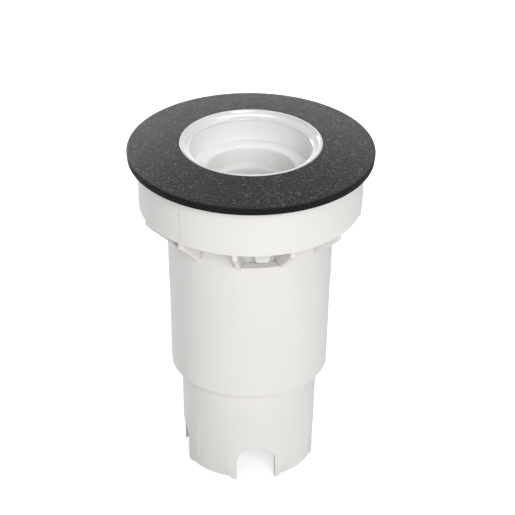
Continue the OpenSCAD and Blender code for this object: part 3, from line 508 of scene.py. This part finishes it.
# A flat snap ring of spring steel lies in a groove of the trim ring, under the bezel's flange,
# so that the bezel stays in the ring while the ring turns round it.
def metal(name, colour, dull, brushed=0.0, direction=(1, 1, 1), pitted=0.0):
    """Bare metal: fine lines or cast pits in the skin, and a gloss that varies with them."""
    look = Finish(bpy.data.materials.new(name))
    lines = look.noise(0.0004, 2.0, 0.6, direction)
    pits = look.noise(0.0012, 4.0, 0.65)
    clouds = look.noise(0.005, 3.0)
    skin = look.bump(lines * brushed + pits * pitted, 0.00003)
    return look.surface(
        Base_Color=look.tint(clouds, shaded(colour, 0.86), colour), Metallic=1.0,
        Roughness=(clouds - 0.5) * 0.15 + (lines - 0.5) * 0.1 + dull, Normal=skin)


def ring_section(node, ease, steps=4):
    """The section of a plain CAD ring, from its bore to its outer radius, with eased corners."""
    bore, edge, low, top = spans(node)
    return eased([(bore, low), (edge, low), (edge, top), (bore, top)], ease, steps)


SNAP_GAP = 20.0
screw_steel = metal("screw_steel", (0.62, 0.62, 0.60), 0.30, 1.0, (1, 1, 0.2))
snap_ring = turned(ring_section("bezel_snap_ring", 0.12, 2), 150, SNAP_GAP / 2, 360.0 - SNAP_GAP)
made("snap_ring", snap_ring, "trim", "screw_steel", screw_steel, "bezel_snap_ring")


# The bezel: a glossy ring in milky white plastic that fills the bore of the trim ring. Its
# three tabs slide between posts of the baffle, so that it rises without turning.
def milky_white(name, colour):
    """Half-glossy milky plastic: a little light runs under its skin. Its colour is even, with
    a few faint scuffs in the gloss."""
    look = Finish(bpy.data.materials.new(name))
    clouds = look.noise(0.012, 2.0)
    scuffs = look.noise(0.0022, 4.0, 0.7, (1, 1, 3))
    return look.surface(
        Base_Color=look.tint(clouds, shaded(colour, 0.965), colour),
        Roughness=scuffs.over(0.45, 0.9) * 0.16 + 0.14,
        Normal=look.bump(look.noise(0.0050, 1.0), 0.00006), Specular_IOR_Level=0.7)


def slab(outline, half):
    """A closed outline of (x, z) carried along Y from -half to half, and closed at both ends."""
    count = len(outline)
    points = np.stack(np.broadcast_arrays(outline[None, :, 0], np.array([[-half], [half]]),
                                          outline[None, :, 1]), -1).reshape(-1, 3)
    faces = grid_faces(2, count, row_loop=False)
    return points, faces + [list(range(count)), list(range(2 * count - 1, count - 1, -1))]


_, FLANGE_R, TAB_LOW, _ = spans("bezel_ring")
FLANGE_LOW, FLANGE_TOP = 157.4, 158.7
BEZEL_R, BEZEL_TOP = 31.85, 161.7
SLOPE = [(27.1, 158.9), (28.1, 159.9), (30.2, 160.5)]
CROWN = [(30.75, BEZEL_TOP + 0.05), (31.3, BEZEL_TOP + 0.15)]
TONGUE_IN_R, TONGUE_OUT_R, TONGUE_LOW, TONGUE_TOP = 27.22, 27.26, 158.2, 158.6
FOOT_IN_R, FOOT_OUT_R, FOOT_LOW = 28.8, 30.3, 155.2
bezel_milk = milky_white("bezel_milk", (0.790, 0.787, 0.780))
bezel_outline = eased([
    (TONGUE_IN_R, TONGUE_LOW), *SLOPE, *CROWN, (BEZEL_R, BEZEL_TOP), (BEZEL_R, FLANGE_TOP),
    (FLANGE_R, FLANGE_TOP), (FLANGE_R, FLANGE_LOW), (FOOT_OUT_R, FLANGE_LOW),
    (FOOT_OUT_R, FOOT_LOW), (FOOT_IN_R, FOOT_LOW), (FOOT_IN_R, TONGUE_TOP),
    (TONGUE_OUT_R, TONGUE_TOP), (TONGUE_OUT_R, TONGUE_LOW)],
    [0.05, 0.5, 0.9, 0.9, 0.4, 0.3, 0.3, 0.15, 0.2, 0.2, 0.2, 0.2, 0.2, 0.2, 0.1, 0.05], 6)
made("bezel_face", turned(bezel_outline, 224), "bezel", "bezel_plastic", bezel_milk, "bezel_ring")
TAB_IN_R, TAB_OUT_R, TAB_TOP, TAB_HALF = 29.3, 32.35, 157.6, 3.0
TAB_COUNT, TAB_FIRST = 3, 60.0
tab_outline = eased([(TAB_IN_R, TAB_LOW), (TAB_OUT_R, TAB_LOW), (TAB_OUT_R, TAB_TOP),
                     (TAB_IN_R, TAB_TOP)], 0.25, 3)
made("bezel_tabs", around(slab(tab_outline, TAB_HALF), TAB_COUNT, TAB_FIRST), "bezel",
     "bezel_plastic", bezel_milk)


# The baffle: a stepped cup in matt white plastic that keeps the lamp's glare down. A flange
# under the bezel takes three screws, and three pairs of posts guide the bezel's tabs.
CUP_FOOT_R, PLATE_R, CUP_LOW, CUP_TOP = spans("baffle")
CUP_MOUTH_R, CUP_RIM_R = 27.3, 28.5
PLATE_LOW, PLATE_TOP = 152.2, 153.6
UPPER_OUT_R, UPPER_IN_R, UPPER_TOP = 25.9, 19.6, 149.5
LOWER_OUT_R, LOWER_IN_R, LOWER_TOP = 19.1, 16.4, 140.6
LEDGE_FALL, LEDGE_DEPTH, CUP_WALL = 0.5, 1.2, 1.2
baffle_white = moulded_white("baffle_white", (0.855, 0.847, 0.836), 0.36, grain=0.0005)
baffle_outline = eased([
    (CUP_MOUTH_R, CUP_TOP), (UPPER_OUT_R, UPPER_TOP), (UPPER_IN_R, UPPER_TOP - LEDGE_FALL),
    (LOWER_OUT_R, LOWER_TOP), (LOWER_IN_R, LOWER_TOP - LEDGE_FALL), (CUP_FOOT_R, CUP_LOW),
    (LOWER_IN_R + CUP_WALL, CUP_LOW), (LOWER_IN_R + CUP_WALL, LOWER_TOP - LEDGE_DEPTH),
    (UPPER_IN_R + CUP_WALL, LOWER_TOP - LEDGE_DEPTH),
    (UPPER_IN_R + CUP_WALL, UPPER_TOP - LEDGE_DEPTH),
    (UPPER_OUT_R + CUP_WALL, UPPER_TOP - LEDGE_DEPTH), (UPPER_OUT_R + CUP_WALL, PLATE_LOW),
    (PLATE_R, PLATE_LOW), (PLATE_R, PLATE_TOP), (CUP_RIM_R, PLATE_TOP), (CUP_RIM_R, CUP_TOP)],
    [0.3, 0.7, 1.1, 0.6, 0.9, 0.3, 0.3, 0.5, 0.3, 0.5, 0.3, 0.3, 0.3, 0.3, 0.3, 0.3], 6)
made("baffle_cup", turned(baffle_outline, 224), "insert", "lamp_plastic", baffle_white, "baffle")


def tapered(outline, middle, levels, shares):
    """A closed outline of (x, y) carried up through the levels. At each, it is drawn in towards
    (middle, 0) by the share for that level, and both ends are closed."""
    count, levels, shares = len(outline), np.array(levels)[:, None], np.array(shares)[:, None]
    points = np.stack(np.broadcast_arrays(
        middle + (outline[None, :, 0] - middle) * shares, outline[None, :, 1] * shares, levels),
        -1).reshape(-1, 3)
    faces = [face[::-1] for face in grid_faces(len(levels), count, row_loop=False)]
    return points, faces + [list(range(count))[::-1],
                            list(range(len(points) - count, len(points)))]


POST_IN_R, POST_OUT_R, POST_HALF, POST_TOP = 30.6, 32.35, 1.2, 156.9
POST_SPREAD = TAB_HALF + 0.35 + POST_HALF
post_outline = eased([(POST_IN_R, -POST_HALF), (POST_OUT_R, -POST_HALF),
                      (POST_OUT_R, POST_HALF), (POST_IN_R, POST_HALF)], 0.3, 3)
post = tapered(post_outline, (POST_IN_R + POST_OUT_R) / 2,
               [PLATE_TOP - 0.9, POST_TOP - 0.2, POST_TOP], [1.0, 1.0, 0.86])
pair = joined(moved(post, y=POST_SPREAD), moved(post, y=-POST_SPREAD))
made("baffle_posts", around(pair, TAB_COUNT, TAB_FIRST), "insert", "lamp_plastic", baffle_white)


# Pan-head screws in stainless steel hold the baffle, the boards, the heat sink and the cap.
# Each has a cross recess, and its shank is a fine thread.
def pan_screw(radius, head_radius, length):
    """A screw on the Z axis, its head above z = 0 and its shank below. Over the head, at radius r
    and angle a, the height is HEAD_HEIGHT - 0.25 (r / head_radius)^2 less the cross, which is deep
    where |r cos a| or |r sin a| is under half an arm's width. The shank's radius waves by the
    pitch as a thread does."""
    count = 48
    a = np.linspace(0, 2 * np.pi, count, endpoint=False)[:, None]
    share = np.array([0, 0.1, 0.16, 0.22, 0.34, 0.46, 0.54, 0.6, 0.75, 0.88, 0.96, 1.0])
    r = head_radius * share
    arm = np.minimum(np.abs(r * np.cos(a)), np.abs(r * np.sin(a)))
    cross = (np.clip((head_radius * 0.17 - arm) / 0.12, 0, 1)
             * np.clip((head_radius * 0.58 - r) / 0.25, 0, 1))
    top = HEAD_HEIGHT * (1 - 0.55 * cross) - 0.25 * share ** 2 * (1 + (share > 0.95))
    down = np.linspace(0, 1, max(12, int(round(length / SCREW_PITCH, 6)) * 4))
    wave = radius * (0.93 + 0.07 * np.cos(2 * np.pi * down * length / SCREW_PITCH))
    wave = wave * np.minimum(1, (1.02 - down) * length / (radius * 1.2) + 0.25)
    low = np.concatenate([[0.0], -down * length, [-length]])
    z = np.concatenate([top, np.broadcast_to(low, (count, len(low)))], 1)
    r = np.broadcast_to(np.concatenate([r, [head_radius], wave, [0.0]]), z.shape)
    points = np.stack([r * np.cos(a), r * np.sin(a), z], -1).reshape(-1, 3)
    return points, [face[::-1] for face in grid_faces(count, z.shape[1], column_loop=False)]


def pan_screws(name, node, size, count, first, head_up=True):
    """The screws of a CAD node, at equal angles from the first. The node's own reach and height
    give their place and length. Upside down, z becomes -z and the faces turn round."""
    radius, head_radius = size
    _, reach, low, top = spans(node)
    points, faces = pan_screw(radius, head_radius, top - low - HEAD_HEIGHT)
    seat = top - HEAD_HEIGHT
    if not head_up:
        points, faces, seat = points * [1, 1, -1], [f[::-1] for f in faces], low + HEAD_HEIGHT
    made(name, around(moved((points, faces), z=seat), count, first, reach - head_radius),
         "insert", "screw_steel", screw_steel, node)


HEAD_HEIGHT, SCREW_PITCH = 1.3, 0.6
LARGE_SCREW, SMALL_SCREW = (1.47, 2.7), (1.22, 2.25)
pan_screws("baffle_pan_screws", "baffle_screws", LARGE_SCREW, 3, 0.0)


# The lock ring on the lamp's flange: white plastic like the lamp housing. Its three ramps rise
# one way round, and a stop closes each at its foot. A rubber ring seals its upper edge.
lamp_white = moulded_white("lamp_white", (0.865, 0.860, 0.850), 0.42)
softened("lock_ring", "ramp_ring", 0.00015, "lamp_plastic", lamp_white, "insert")


def rubber(name, colour, dull=0.62):
    """Moulded rubber: a dusty dark skin with a faint bloom and a dull gloss."""
    look = Finish(bpy.data.materials.new(name))
    bloom = look.noise(0.006, 4.0, 0.6)
    return look.surface(
        Base_Color=look.tint(bloom.over(0.35, 0.75), colour, shaded(colour, 1.7, 0.01)),
        Roughness=(bloom - 0.5) * 0.2 + dull, Normal=look.bump(look.noise(0.0006, 3.0), 0.00003))


black_rubber = rubber("black_rubber", (0.018, 0.018, 0.019))
made("neck_seal", turned(ring_section("neck_gasket", 0.28), 128), "insert", "black_rubber",
     black_rubber, "neck_gasket")


# The lamp housing: a white moulded tube with a flange, screw bosses inside and a lens seat.
# Six keys stand in the collar's pockets, and a flat rubber ring lies under the flange.
softened("lamp_housing", "housing_tube", 0.00025, "lamp_plastic", lamp_white, "insert")
softened("locating_keys", "housing_keys", 0.00035, "lamp_plastic", lamp_white, "insert", steps=3)
made("seat_ring", turned(ring_section("seat_gasket", 0.35), 128), "insert", "black_rubber",
     black_rubber, "seat_gasket")


# The lens: a round of clear toughened glass with a ground rim. It lies on a silicone ring, and
# a black plastic ring with two key slots holds it down.
def clear(name, colour, dull, thin, pillow=None):
    """Clear glass or acrylic: thin where it is looked through, more solid towards its edges, with
    faint smudges in its polish. pillow is the size of small lenses moulded into it."""
    look = Finish(bpy.data.materials.new(name))
    edge = Value(look, look.node("ShaderNodeLayerWeight", None, 0.35).outputs["Fresnel"])
    smudge = look.noise(0.007, 4.0, 0.6)
    mist = smudge.over(0.45, 0.8)
    skin = look.bump(smudge, 0.000004)
    if pillow:
        cells = look.node("ShaderNodeTexVoronoi", None, Vector=look.place((1, 1, 0)),
                          Scale=1 / pillow, Randomness=0.0)
        skin = look.bump(1.0 - Value(look, cells.outputs["Distance"]), pillow * 0.25, skin)
    return look.surface(
        Base_Color=look.tint(mist, colour, shaded(colour, 0.97)), Normal=skin,
        Alpha=(edge * (1.0 - thin) + thin + mist * 0.03).at_most(1.0),
        Roughness=mist * 0.1 + dull, Specular_IOR_Level=1.0)


_, LENS_R, LENS_LOW, LENS_TOP = spans("lens_glass")
lens_outline = eased([(0, LENS_LOW), (LENS_R, LENS_LOW), (LENS_R, LENS_TOP), (0, LENS_TOP)],
                     [0, 0.45, 0.45, 0])
made("lens_pane", turned(lens_outline, 160), "insert", "lens_glass",
     clear("toughened_glass", (0.90, 0.96, 0.94), 0.02, 0.14), "lens_glass")
grey_silicone = rubber("grey_silicone", (0.52, 0.52, 0.51), 0.48)
made("lens_bed", turned(ring_section("lens_gasket", 0.25), 128), "insert", "silicone",
     grey_silicone, "lens_gasket")


def nylon(name, colour, dull, grain=0.0007):
    """Dark moulded nylon: a fine even skin, a little lighter where flow lines run."""
    look = Finish(bpy.data.materials.new(name))
    flow = look.noise(0.008, 3.0, 0.55, (1, 1, 0.3)).over(0.3, 0.8)
    return look.surface(
        Base_Color=look.tint(flow, colour, shaded(colour, 1.8, 0.004)),
        Roughness=(flow - 0.5) * 0.14 + dull, Normal=look.bump(look.noise(grain, 2.0), 0.00002))


dark_nylon = nylon("dark_nylon", (0.018, 0.018, 0.019), 0.46)
softened("lens_retainer", "lens_lock", 0.00030, "dark_plastic", dark_nylon, "insert")


# The light source: a moulded acrylic collimator with small lenses set into its flat top. It
# stands in a white holder over one large LED, a ceramic carrier with a yellow phosphor round.
POCKET_R, OPTIC_R, OPTIC_LOW, OPTIC_TOP = spans("collimator")
POCKET_DEPTH, OPTIC_FOOT_R, OPTIC_SPREAD, OPTIC_RIM = 3.0, 6.2, 8.6, 1.5
RIM_LOW = OPTIC_TOP - OPTIC_RIM
rise = np.linspace(0, 1, 10)
optic_side = np.stack([OPTIC_FOOT_R + OPTIC_SPREAD * rise ** 0.8,
                       OPTIC_LOW + (RIM_LOW - OPTIC_LOW) * rise], 1)
optic_outline = np.concatenate([
    [[0, OPTIC_LOW + POCKET_DEPTH], [POCKET_R, OPTIC_LOW + POCKET_DEPTH], [POCKET_R, OPTIC_LOW]],
    optic_side,
    eased([(OPTIC_R - 0.1, RIM_LOW), (OPTIC_R, OPTIC_TOP), (0, OPTIC_TOP)], [0.05, 0.3, 0])])
made("collimator_optic", turned(optic_outline, 128), "insert", "optic_clear",
     clear("pillowed_acrylic", (0.93, 0.96, 0.97), 0.04, 0.26, 0.0019), "collimator")
holder_white = moulded_white("holder_white", (0.84, 0.84, 0.82), 0.36, grain=0.0004)
softened("optic_holder", "optic_cup", 0.00025, "optic_white", holder_white, "insert")


def led_carrier(name):
    """White ceramic with gold pads at two corners, a pale dam and a round of yellow phosphor."""
    look = Finish(bpy.data.materials.new(name))
    x, y, _ = look.axes()
    r = look.reach()
    phosphor, dam = r.within(0.00470, 0.0002), r.within(0.00525, 0.0002)
    pad_out, pad_half = 0.0052, 0.0009
    pad = ((x.size() - pad_out).within(pad_half, 0.0001)
           * (y.size() - pad_out).within(pad_half, 0.0001))
    gold = pad * (x * y * 1e6).over(-0.5, 0.5)
    grit = look.noise(0.0005, 3.0)
    plate = look.tint(gold, (0.80, 0.79, 0.76), (0.72, 0.50, 0.20))
    yellow = look.tint(grit, (0.86, 0.60, 0.10), (0.93, 0.72, 0.20))
    ringed = look.tint(dam, plate, (0.86, 0.85, 0.80))
    return look.surface(Base_Color=look.tint(phosphor, ringed, yellow),
                        Metallic=gold, Roughness=0.55 - gold * 0.2 - phosphor * 0.2,
                        Normal=look.bump(grit, 0.00003))


softened("led_chip", "led_source", 0.00012, "led_phosphor", led_carrier("led_carrier"), "insert")


# The LED's round aluminium board, in white solder mask with copper showing at its pads, lies on
# a soft grey pad. Two screws draw both down on the heat sink.
def land(look, distance, azimuth, half):
    """1 on a round of bare copper and 0 off it. The round reaches half from its centre, which
    lies at a distance from the axis of the light and an azimuth in degrees."""
    a = math.radians(azimuth)
    return look.reach((distance * math.cos(a), distance * math.sin(a), 0)).within(half, 0.0001)


def lamp_mask(name):
    """White solder mask: faint raised tracks, and tinned copper round the screws and leads."""
    look = Finish(bpy.data.materials.new(name))
    x, y, _ = look.axes()
    screw_lands = sum(land(look, 0.0162, azimuth, 0.0028) for azimuth in (90.0, 270.0))
    lead_lands = sum(land(look, 0.0159, azimuth, 0.0021) for azimuth in (40.0, 60.0))
    r = look.reach()
    track = ((r - 0.0125).within(0.0012, 0.0001) + (x - y * 0.9).within(0.0010, 0.0001)
             * r.over(0.0075, 0.0078)).at_most(1.0)
    bare, clouds = (screw_lands + lead_lands).at_most(1.0), look.noise(0.004, 3.0)
    mask = look.tint(clouds * 0.5 + track * 0.5, (0.80, 0.80, 0.77), (0.87, 0.87, 0.85))
    return look.surface(Base_Color=look.tint(bare, mask, (0.66, 0.64, 0.60)), Metallic=bare * 0.9,
                        Roughness=clouds * 0.14 + 0.28, Normal=look.bump(track, 0.00006))


softened("led_board", "lamp_plate", 0.00010, "lamp_board", lamp_mask("lamp_mask"), "insert")
soft_pad = rubber("soft_pad", (0.20, 0.23, 0.27), 0.72)
softened("thermal_pad", "soft_pad", 0.00010, "thermal_pad", soft_pad, "insert")
pan_screws("board_pan_screws", "board_screws", SMALL_SCREW, 2, 90.0)


# The heat sink: die-cast aluminium, a plate with a hub and radial fins below. Three screws hold
# it to bosses in the housing. A pressed card keeps the driver's parts clear of the fins.
cast_aluminium = metal("cast_aluminium", (0.60, 0.61, 0.62), 0.42, 0.15, (1, 1, 1), 1.0)
softened("heat_sink", "finned_sink", 0.00020, "sink_aluminium", cast_aluminium, "insert")
pan_screws("sink_pan_screws", "heat_sink_screws", LARGE_SCREW, 3, 60.0, head_up=False)


def pressed_card(name):
    """Buff insulating card: short fibres, darker flecks and a soft dull skin."""
    look = Finish(bpy.data.materials.new(name))
    fibres = look.noise(0.0012, 4.0, 0.7, (1, 3, 1))
    flecks = look.noise(0.0025, 5.0, 0.8).over(0.62, 0.72)
    base = look.tint(fibres, (0.58, 0.49, 0.31), (0.72, 0.64, 0.45))
    return look.surface(Base_Color=look.tint(flecks * 0.6, base, (0.40, 0.31, 0.18)),
                        Roughness=0.85 - fibres * 0.12, Normal=look.bump(fibres, 0.00005))


softened("insulator_disc", "card_disc", 0.00010, "insulator_card", pressed_card("pressed_card"),
         "insert")


# The driver board: green laminate on three posts of the rear cap. It carries two capacitors, a
# choke, three chips and a screw terminal, and two leads run from it up to the lamp board.
def laminate(name):
    """Green solder mask over copper: tracks in two directions, tinned vias and a gloss skin."""
    look = Finish(bpy.data.materials.new(name))
    x, y, _ = look.axes()
    wander = look.noise(0.009, 1.0) * 0.004
    lanes = ((x + wander) * 520.0).fraction().within(0.32, 0.12)
    rows = ((y - wander) * 430.0).fraction().within(0.30, 0.12)
    zone = look.noise(0.011, 1.0).over(0.47, 0.50)
    track = lanes * zone + rows * (1.0 - zone)
    near, pick = look.grains(0.0031)
    via = (1.0 - near.over(0.12, 0.16)) * pick.over(0.62, 0.64)
    mask = look.tint(track, (0.010, 0.085, 0.036), (0.020, 0.150, 0.060))
    return look.surface(Base_Color=look.tint(via, mask, (0.62, 0.60, 0.55)), Metallic=via * 0.9,
                        Roughness=track * 0.08 + 0.24, Normal=look.bump(track, 0.00005))


def shrink_sleeve(name, places, top):
    """A capacitor's dark blue sleeve with a pale stripe, rolled over a bare aluminium top that
    has a vent cross pressed into it. places are the capacitors' centres."""
    look = Finish(bpy.data.materials.new(name))
    _, _, z = look.axes()
    centres = [look.axes(centre=(*place, 0)) for place in places]
    r = [(x * x + y * y) ** 0.5 for x, y, _ in centres]
    bare = z.over(top - 0.0003, top - 0.0002) * (1.0 - r[0].at_most(r[1]).over(0.0032, 0.0034))
    cross = sum(x.within(0.0002, 0.0001) + y.within(0.0002, 0.0001) for x, y, _ in centres)
    stripe = sum(x.over(0.0028, 0.0030) * distance.within(0.0046, 0.0002)
                 for (x, _, _), distance in zip(centres, r))
    film = look.tint(stripe.at_most(1.0) * 0.8, (0.016, 0.026, 0.080), (0.42, 0.44, 0.47))
    clouds = look.noise(0.003, 3.0)
    return look.surface(Base_Color=look.tint(bare, film, (0.70, 0.71, 0.72)), Metallic=bare,
                        Roughness=clouds * 0.12 + 0.26,
                        Normal=look.bump(cross.at_most(1.0) * bare, -0.0002))


def wound(name, middle, half):
    """A choke: grey ferrite cheeks, and lacquered copper wire wound in fine turns between, up to
    half a width from a height, both in metres."""
    look = Finish(bpy.data.materials.new(name))
    _, _, z = look.axes()
    turns = (z * 2400.0).fraction()
    wire = (z - middle).within(half, 0.0001)
    sheen = look.noise(0.003, 3.0)
    copper = look.tint(turns.within(0.5, 0.4), (0.20, 0.06, 0.02), (0.62, 0.28, 0.12))
    return look.surface(Base_Color=look.tint(wire, (0.035, 0.035, 0.037), copper),
                        Metallic=wire * 0.8, Roughness=0.60 - wire * 0.28 + sheen * 0.1,
                        Normal=look.bump(turns * wire, 0.0001))


def bright_plastic(name, colour, dull):
    """Coloured plastic with a gloss: faint clouds, and a few scuffs that dull it."""
    look = Finish(bpy.data.materials.new(name))
    clouds, scuffs = look.noise(0.004, 3.0), look.noise(0.0015, 4.0, 0.7)
    return look.surface(Base_Color=look.tint(clouds, shaded(colour, 0.75), colour),
                        Roughness=scuffs.over(0.45, 0.85) * 0.25 + dull,
                        Normal=look.bump(scuffs, 0.00001))


softened("driver_board", "driver_plate", 0.00010, "driver_laminate", laminate("green_laminate"),
         "insert")
pan_screws("driver_pan_screws", "driver_screws", SMALL_SCREW, 3, 0.0)
_, _, BOARD_TOP, CAN_TOP = spans("driver_capacitors")
CAPACITORS = [(-12.0, 4.5), (-1.5, 14.0)]
CAN_R, VENT_R, NECK_R, NECK_LOW, NECK_TOP = 4.2, 3.4, 3.95, 1.6, 2.6
can_outline = eased([
    (0, BOARD_TOP), (CAN_R, BOARD_TOP), (CAN_R, BOARD_TOP + NECK_LOW),
    (NECK_R, BOARD_TOP + (NECK_LOW + NECK_TOP) / 2), (CAN_R, BOARD_TOP + NECK_TOP),
    (CAN_R, CAN_TOP), (VENT_R, CAN_TOP), (VENT_R - 0.1, CAN_TOP - 0.2), (0, CAN_TOP - 0.2)],
    [0, 0.3, 0.25, 0.25, 0.25, 0.5, 0.1, 0.1, 0])
can = turned(can_outline, 64)
film = shrink_sleeve("shrink_sleeve", [(x / 1000, y / 1000) for x, y in CAPACITORS],
                     CAN_TOP / 1000)
made("capacitor_cans", joined(*(moved(can, x, y) for x, y in CAPACITORS)), "insert",
     "capacitor_sleeve", film, "driver_capacitors")
_, _, _, CHOKE_TOP = spans("driver_choke")
CHOKE_X, CHOKE_Y, CHOKE_R, COIL_R, CHEEK = -11.0, -6.5, 4.6, 3.7, 1.2
WIRE, WIRE_BULGE = 0.6, 0.14
coil_low, coil_top = BOARD_TOP + CHEEK, CHOKE_TOP - CHEEK
coil = np.linspace(coil_low, coil_top, 61)
choke_outline = np.concatenate([
    eased([(0, BOARD_TOP), (CHOKE_R, BOARD_TOP), (CHOKE_R, coil_low)], [0, 0.3, 0.05], 3),
    np.stack([COIL_R + WIRE_BULGE * np.abs(np.sin((coil - coil_low) * np.pi / WIRE)), coil], 1),
    eased([(CHOKE_R, coil_top), (CHOKE_R, CHOKE_TOP), (0, CHOKE_TOP)], [0.05, 0.3, 0], 3)])
copper = wound("wound_copper", (coil_low + coil_top) / 2000, (coil_top - coil_low) / 2000)
made("wound_choke", moved(turned(choke_outline, 64), CHOKE_X, CHOKE_Y), "insert", "choke_copper",
     copper, "driver_choke")
softened("driver_chips", "chip_packages", 0.00018, "chip_plastic",
         nylon("chip_epoxy", (0.014, 0.014, 0.015), 0.55, 0.0003), "insert")
softened("terminal_block", "lead_terminal", 0.00025, "terminal_green",
         bright_plastic("terminal_green", (0.045, 0.26, 0.085), 0.30), "insert")
softened("led_leads", "red_leads", 0.00020, "lead_red",
         bright_plastic("lead_red", (0.48, 0.030, 0.022), 0.32), "insert")


# The rear cap closes the housing: a white moulded disc whose spigot carries a rubber ring. Three
# sunk screws hold it, and a black plug with a membrane lets the lamp breathe.
softened("rear_cap", "end_cap", 0.00030, "lamp_plastic", lamp_white, "insert")
ring_in, ring_out, ring_low, ring_top = spans("cap_o_ring")
bead = np.linspace(0, 2 * np.pi, 24, endpoint=False)
cord_r = (ring_out - ring_in) / 2
cord_outline = np.stack([ring_in + cord_r + cord_r * np.cos(bead),
                         (ring_low + ring_top) / 2 + cord_r * np.sin(bead)], 1)
made("cap_ring_seal", turned(cord_outline, 128), "insert", "black_rubber", black_rubber,
     "cap_o_ring")
pan_screws("cap_pan_screws", "cap_screws", LARGE_SCREW, 3, 60.0, head_up=False)
_, _, PLUG_LOW, PLUG_TOP = spans("vent_plug")
PLUG_AZIMUTH, PLUG_REACH = 30.0, 21.0
PLUG_R, PLUG_HEAD, STEM_R, VENT_HOLE_R, VENT_DEPTH = 4.4, 2.0, 2.9, 1.2, 0.4
plug_outline = eased([
    (0, PLUG_LOW), (VENT_HOLE_R, PLUG_LOW), (VENT_HOLE_R, PLUG_LOW + VENT_DEPTH),
    (PLUG_R - 0.5, PLUG_LOW + VENT_DEPTH), (PLUG_R, PLUG_LOW + 2 * VENT_DEPTH),
    (PLUG_R, PLUG_LOW + PLUG_HEAD), (STEM_R, PLUG_LOW + PLUG_HEAD), (STEM_R, PLUG_TOP),
    (0, PLUG_TOP)], [0, 0.1, 0.1, 0.3, 0.3, 0.2, 0.1, 0.4, 0])
made("breather_plug", around(turned(plug_outline, 40), 1, PLUG_AZIMUTH, PLUG_REACH), "insert",
     "dark_plastic", dark_nylon, "vent_plug")


# The cable gland, in dark grey nylon: a threaded body with a hexagon below the cap, a locknut
# inside, and a nut that squeezes a rubber seal on the cord. The cord itself isn't fitted.
def threaded(radius, depth, low, top, pitch):
    """The outside of a threaded rod, upwards: the radius falls by depth as a triangle wave."""
    z = np.linspace(low, top, int(round((top - low) / pitch, 6)) * 4 + 1)
    fall = np.abs(((z - low) / pitch) % 1.0 * 2 - 1)
    return np.stack([radius - depth * fall, z], 1)


gland_grey = nylon("gland_grey", (0.036, 0.037, 0.040), 0.44)
made("gland_face_seal", turned(ring_section("gland_washer", 0.25), 96), "insert", "black_rubber",
     black_rubber, "gland_washer")
HEX_SIDES, HEX_HALF = 6, 10.0
HEX_R = HEX_HALF * 2 / math.sqrt(3)
THREAD_R, THREAD_DEPTH, THREAD_PITCH = 8.0, 0.55, 1.5
CORD_R, _, BODY_LOW, BODY_TOP = spans("gland_body")
SOCKET_R, SOCKET_DEPTH, FLAT_LOW, FLAT_TOP = 6.3, 6.0, 48.1, 53.1
shank_outline = np.concatenate([
    [[SOCKET_R, BODY_LOW]],
    threaded(THREAD_R, THREAD_DEPTH, BODY_LOW + 0.5, FLAT_LOW, THREAD_PITCH),
    threaded(THREAD_R, THREAD_DEPTH, FLAT_TOP, BODY_TOP - 0.1, THREAD_PITCH),
    [[THREAD_R - 0.7, BODY_TOP], [CORD_R, BODY_TOP], [CORD_R, BODY_LOW + SOCKET_DEPTH],
     [SOCKET_R, BODY_LOW + SOCKET_DEPTH]]])
made("gland_shank", turned(shank_outline, 96), "insert", "gland_plastic", gland_grey, "gland_body")
hexagon_outline = eased([(THREAD_R - 1, FLAT_LOW), (HEX_R, FLAT_LOW), (HEX_R, FLAT_TOP),
                         (THREAD_R - 1, FLAT_TOP)], [0, 0.35, 0.35, 0])
made("gland_hexagon", turned(hexagon_outline, HEX_SIDES), "insert", "gland_plastic", gland_grey,
     sharp=25)
locknut_outline = ring_section("gland_locknut", [0.2, 0.4, 0.4, 0.2])
made("gland_lock", turned(locknut_outline, HEX_SIDES), "insert", "gland_plastic", gland_grey,
     "gland_locknut", sharp=25)
made("gland_sleeve_seal", turned(ring_section("gland_seal", 0.4), 64), "insert", "black_rubber",
     black_rubber, "gland_seal")
NUT_BORE_R, _, NUT_LOW, NUT_TOP = spans("gland_nut")
NUT_CROWN_R, NUT_CROWN, NUT_FLOOR = 7.4, 3.1, 3.3
nut_outline = eased([
    (NUT_BORE_R, NUT_LOW), (NUT_CROWN_R, NUT_LOW), (HEX_R, NUT_LOW + NUT_CROWN),
    (HEX_R, NUT_TOP), (THREAD_R + 0.1, NUT_TOP), (THREAD_R + 0.1, NUT_LOW + NUT_FLOOR),
    (NUT_BORE_R, NUT_LOW + NUT_FLOOR)], [0.5, 0.8, 0.9, 0.5, 0.3, 0.2, 0.2])
made("gland_cap_nut", turned(nut_outline, HEX_SIDES), "insert", "gland_plastic", gland_grey,
     "gland_nut", sharp=25)
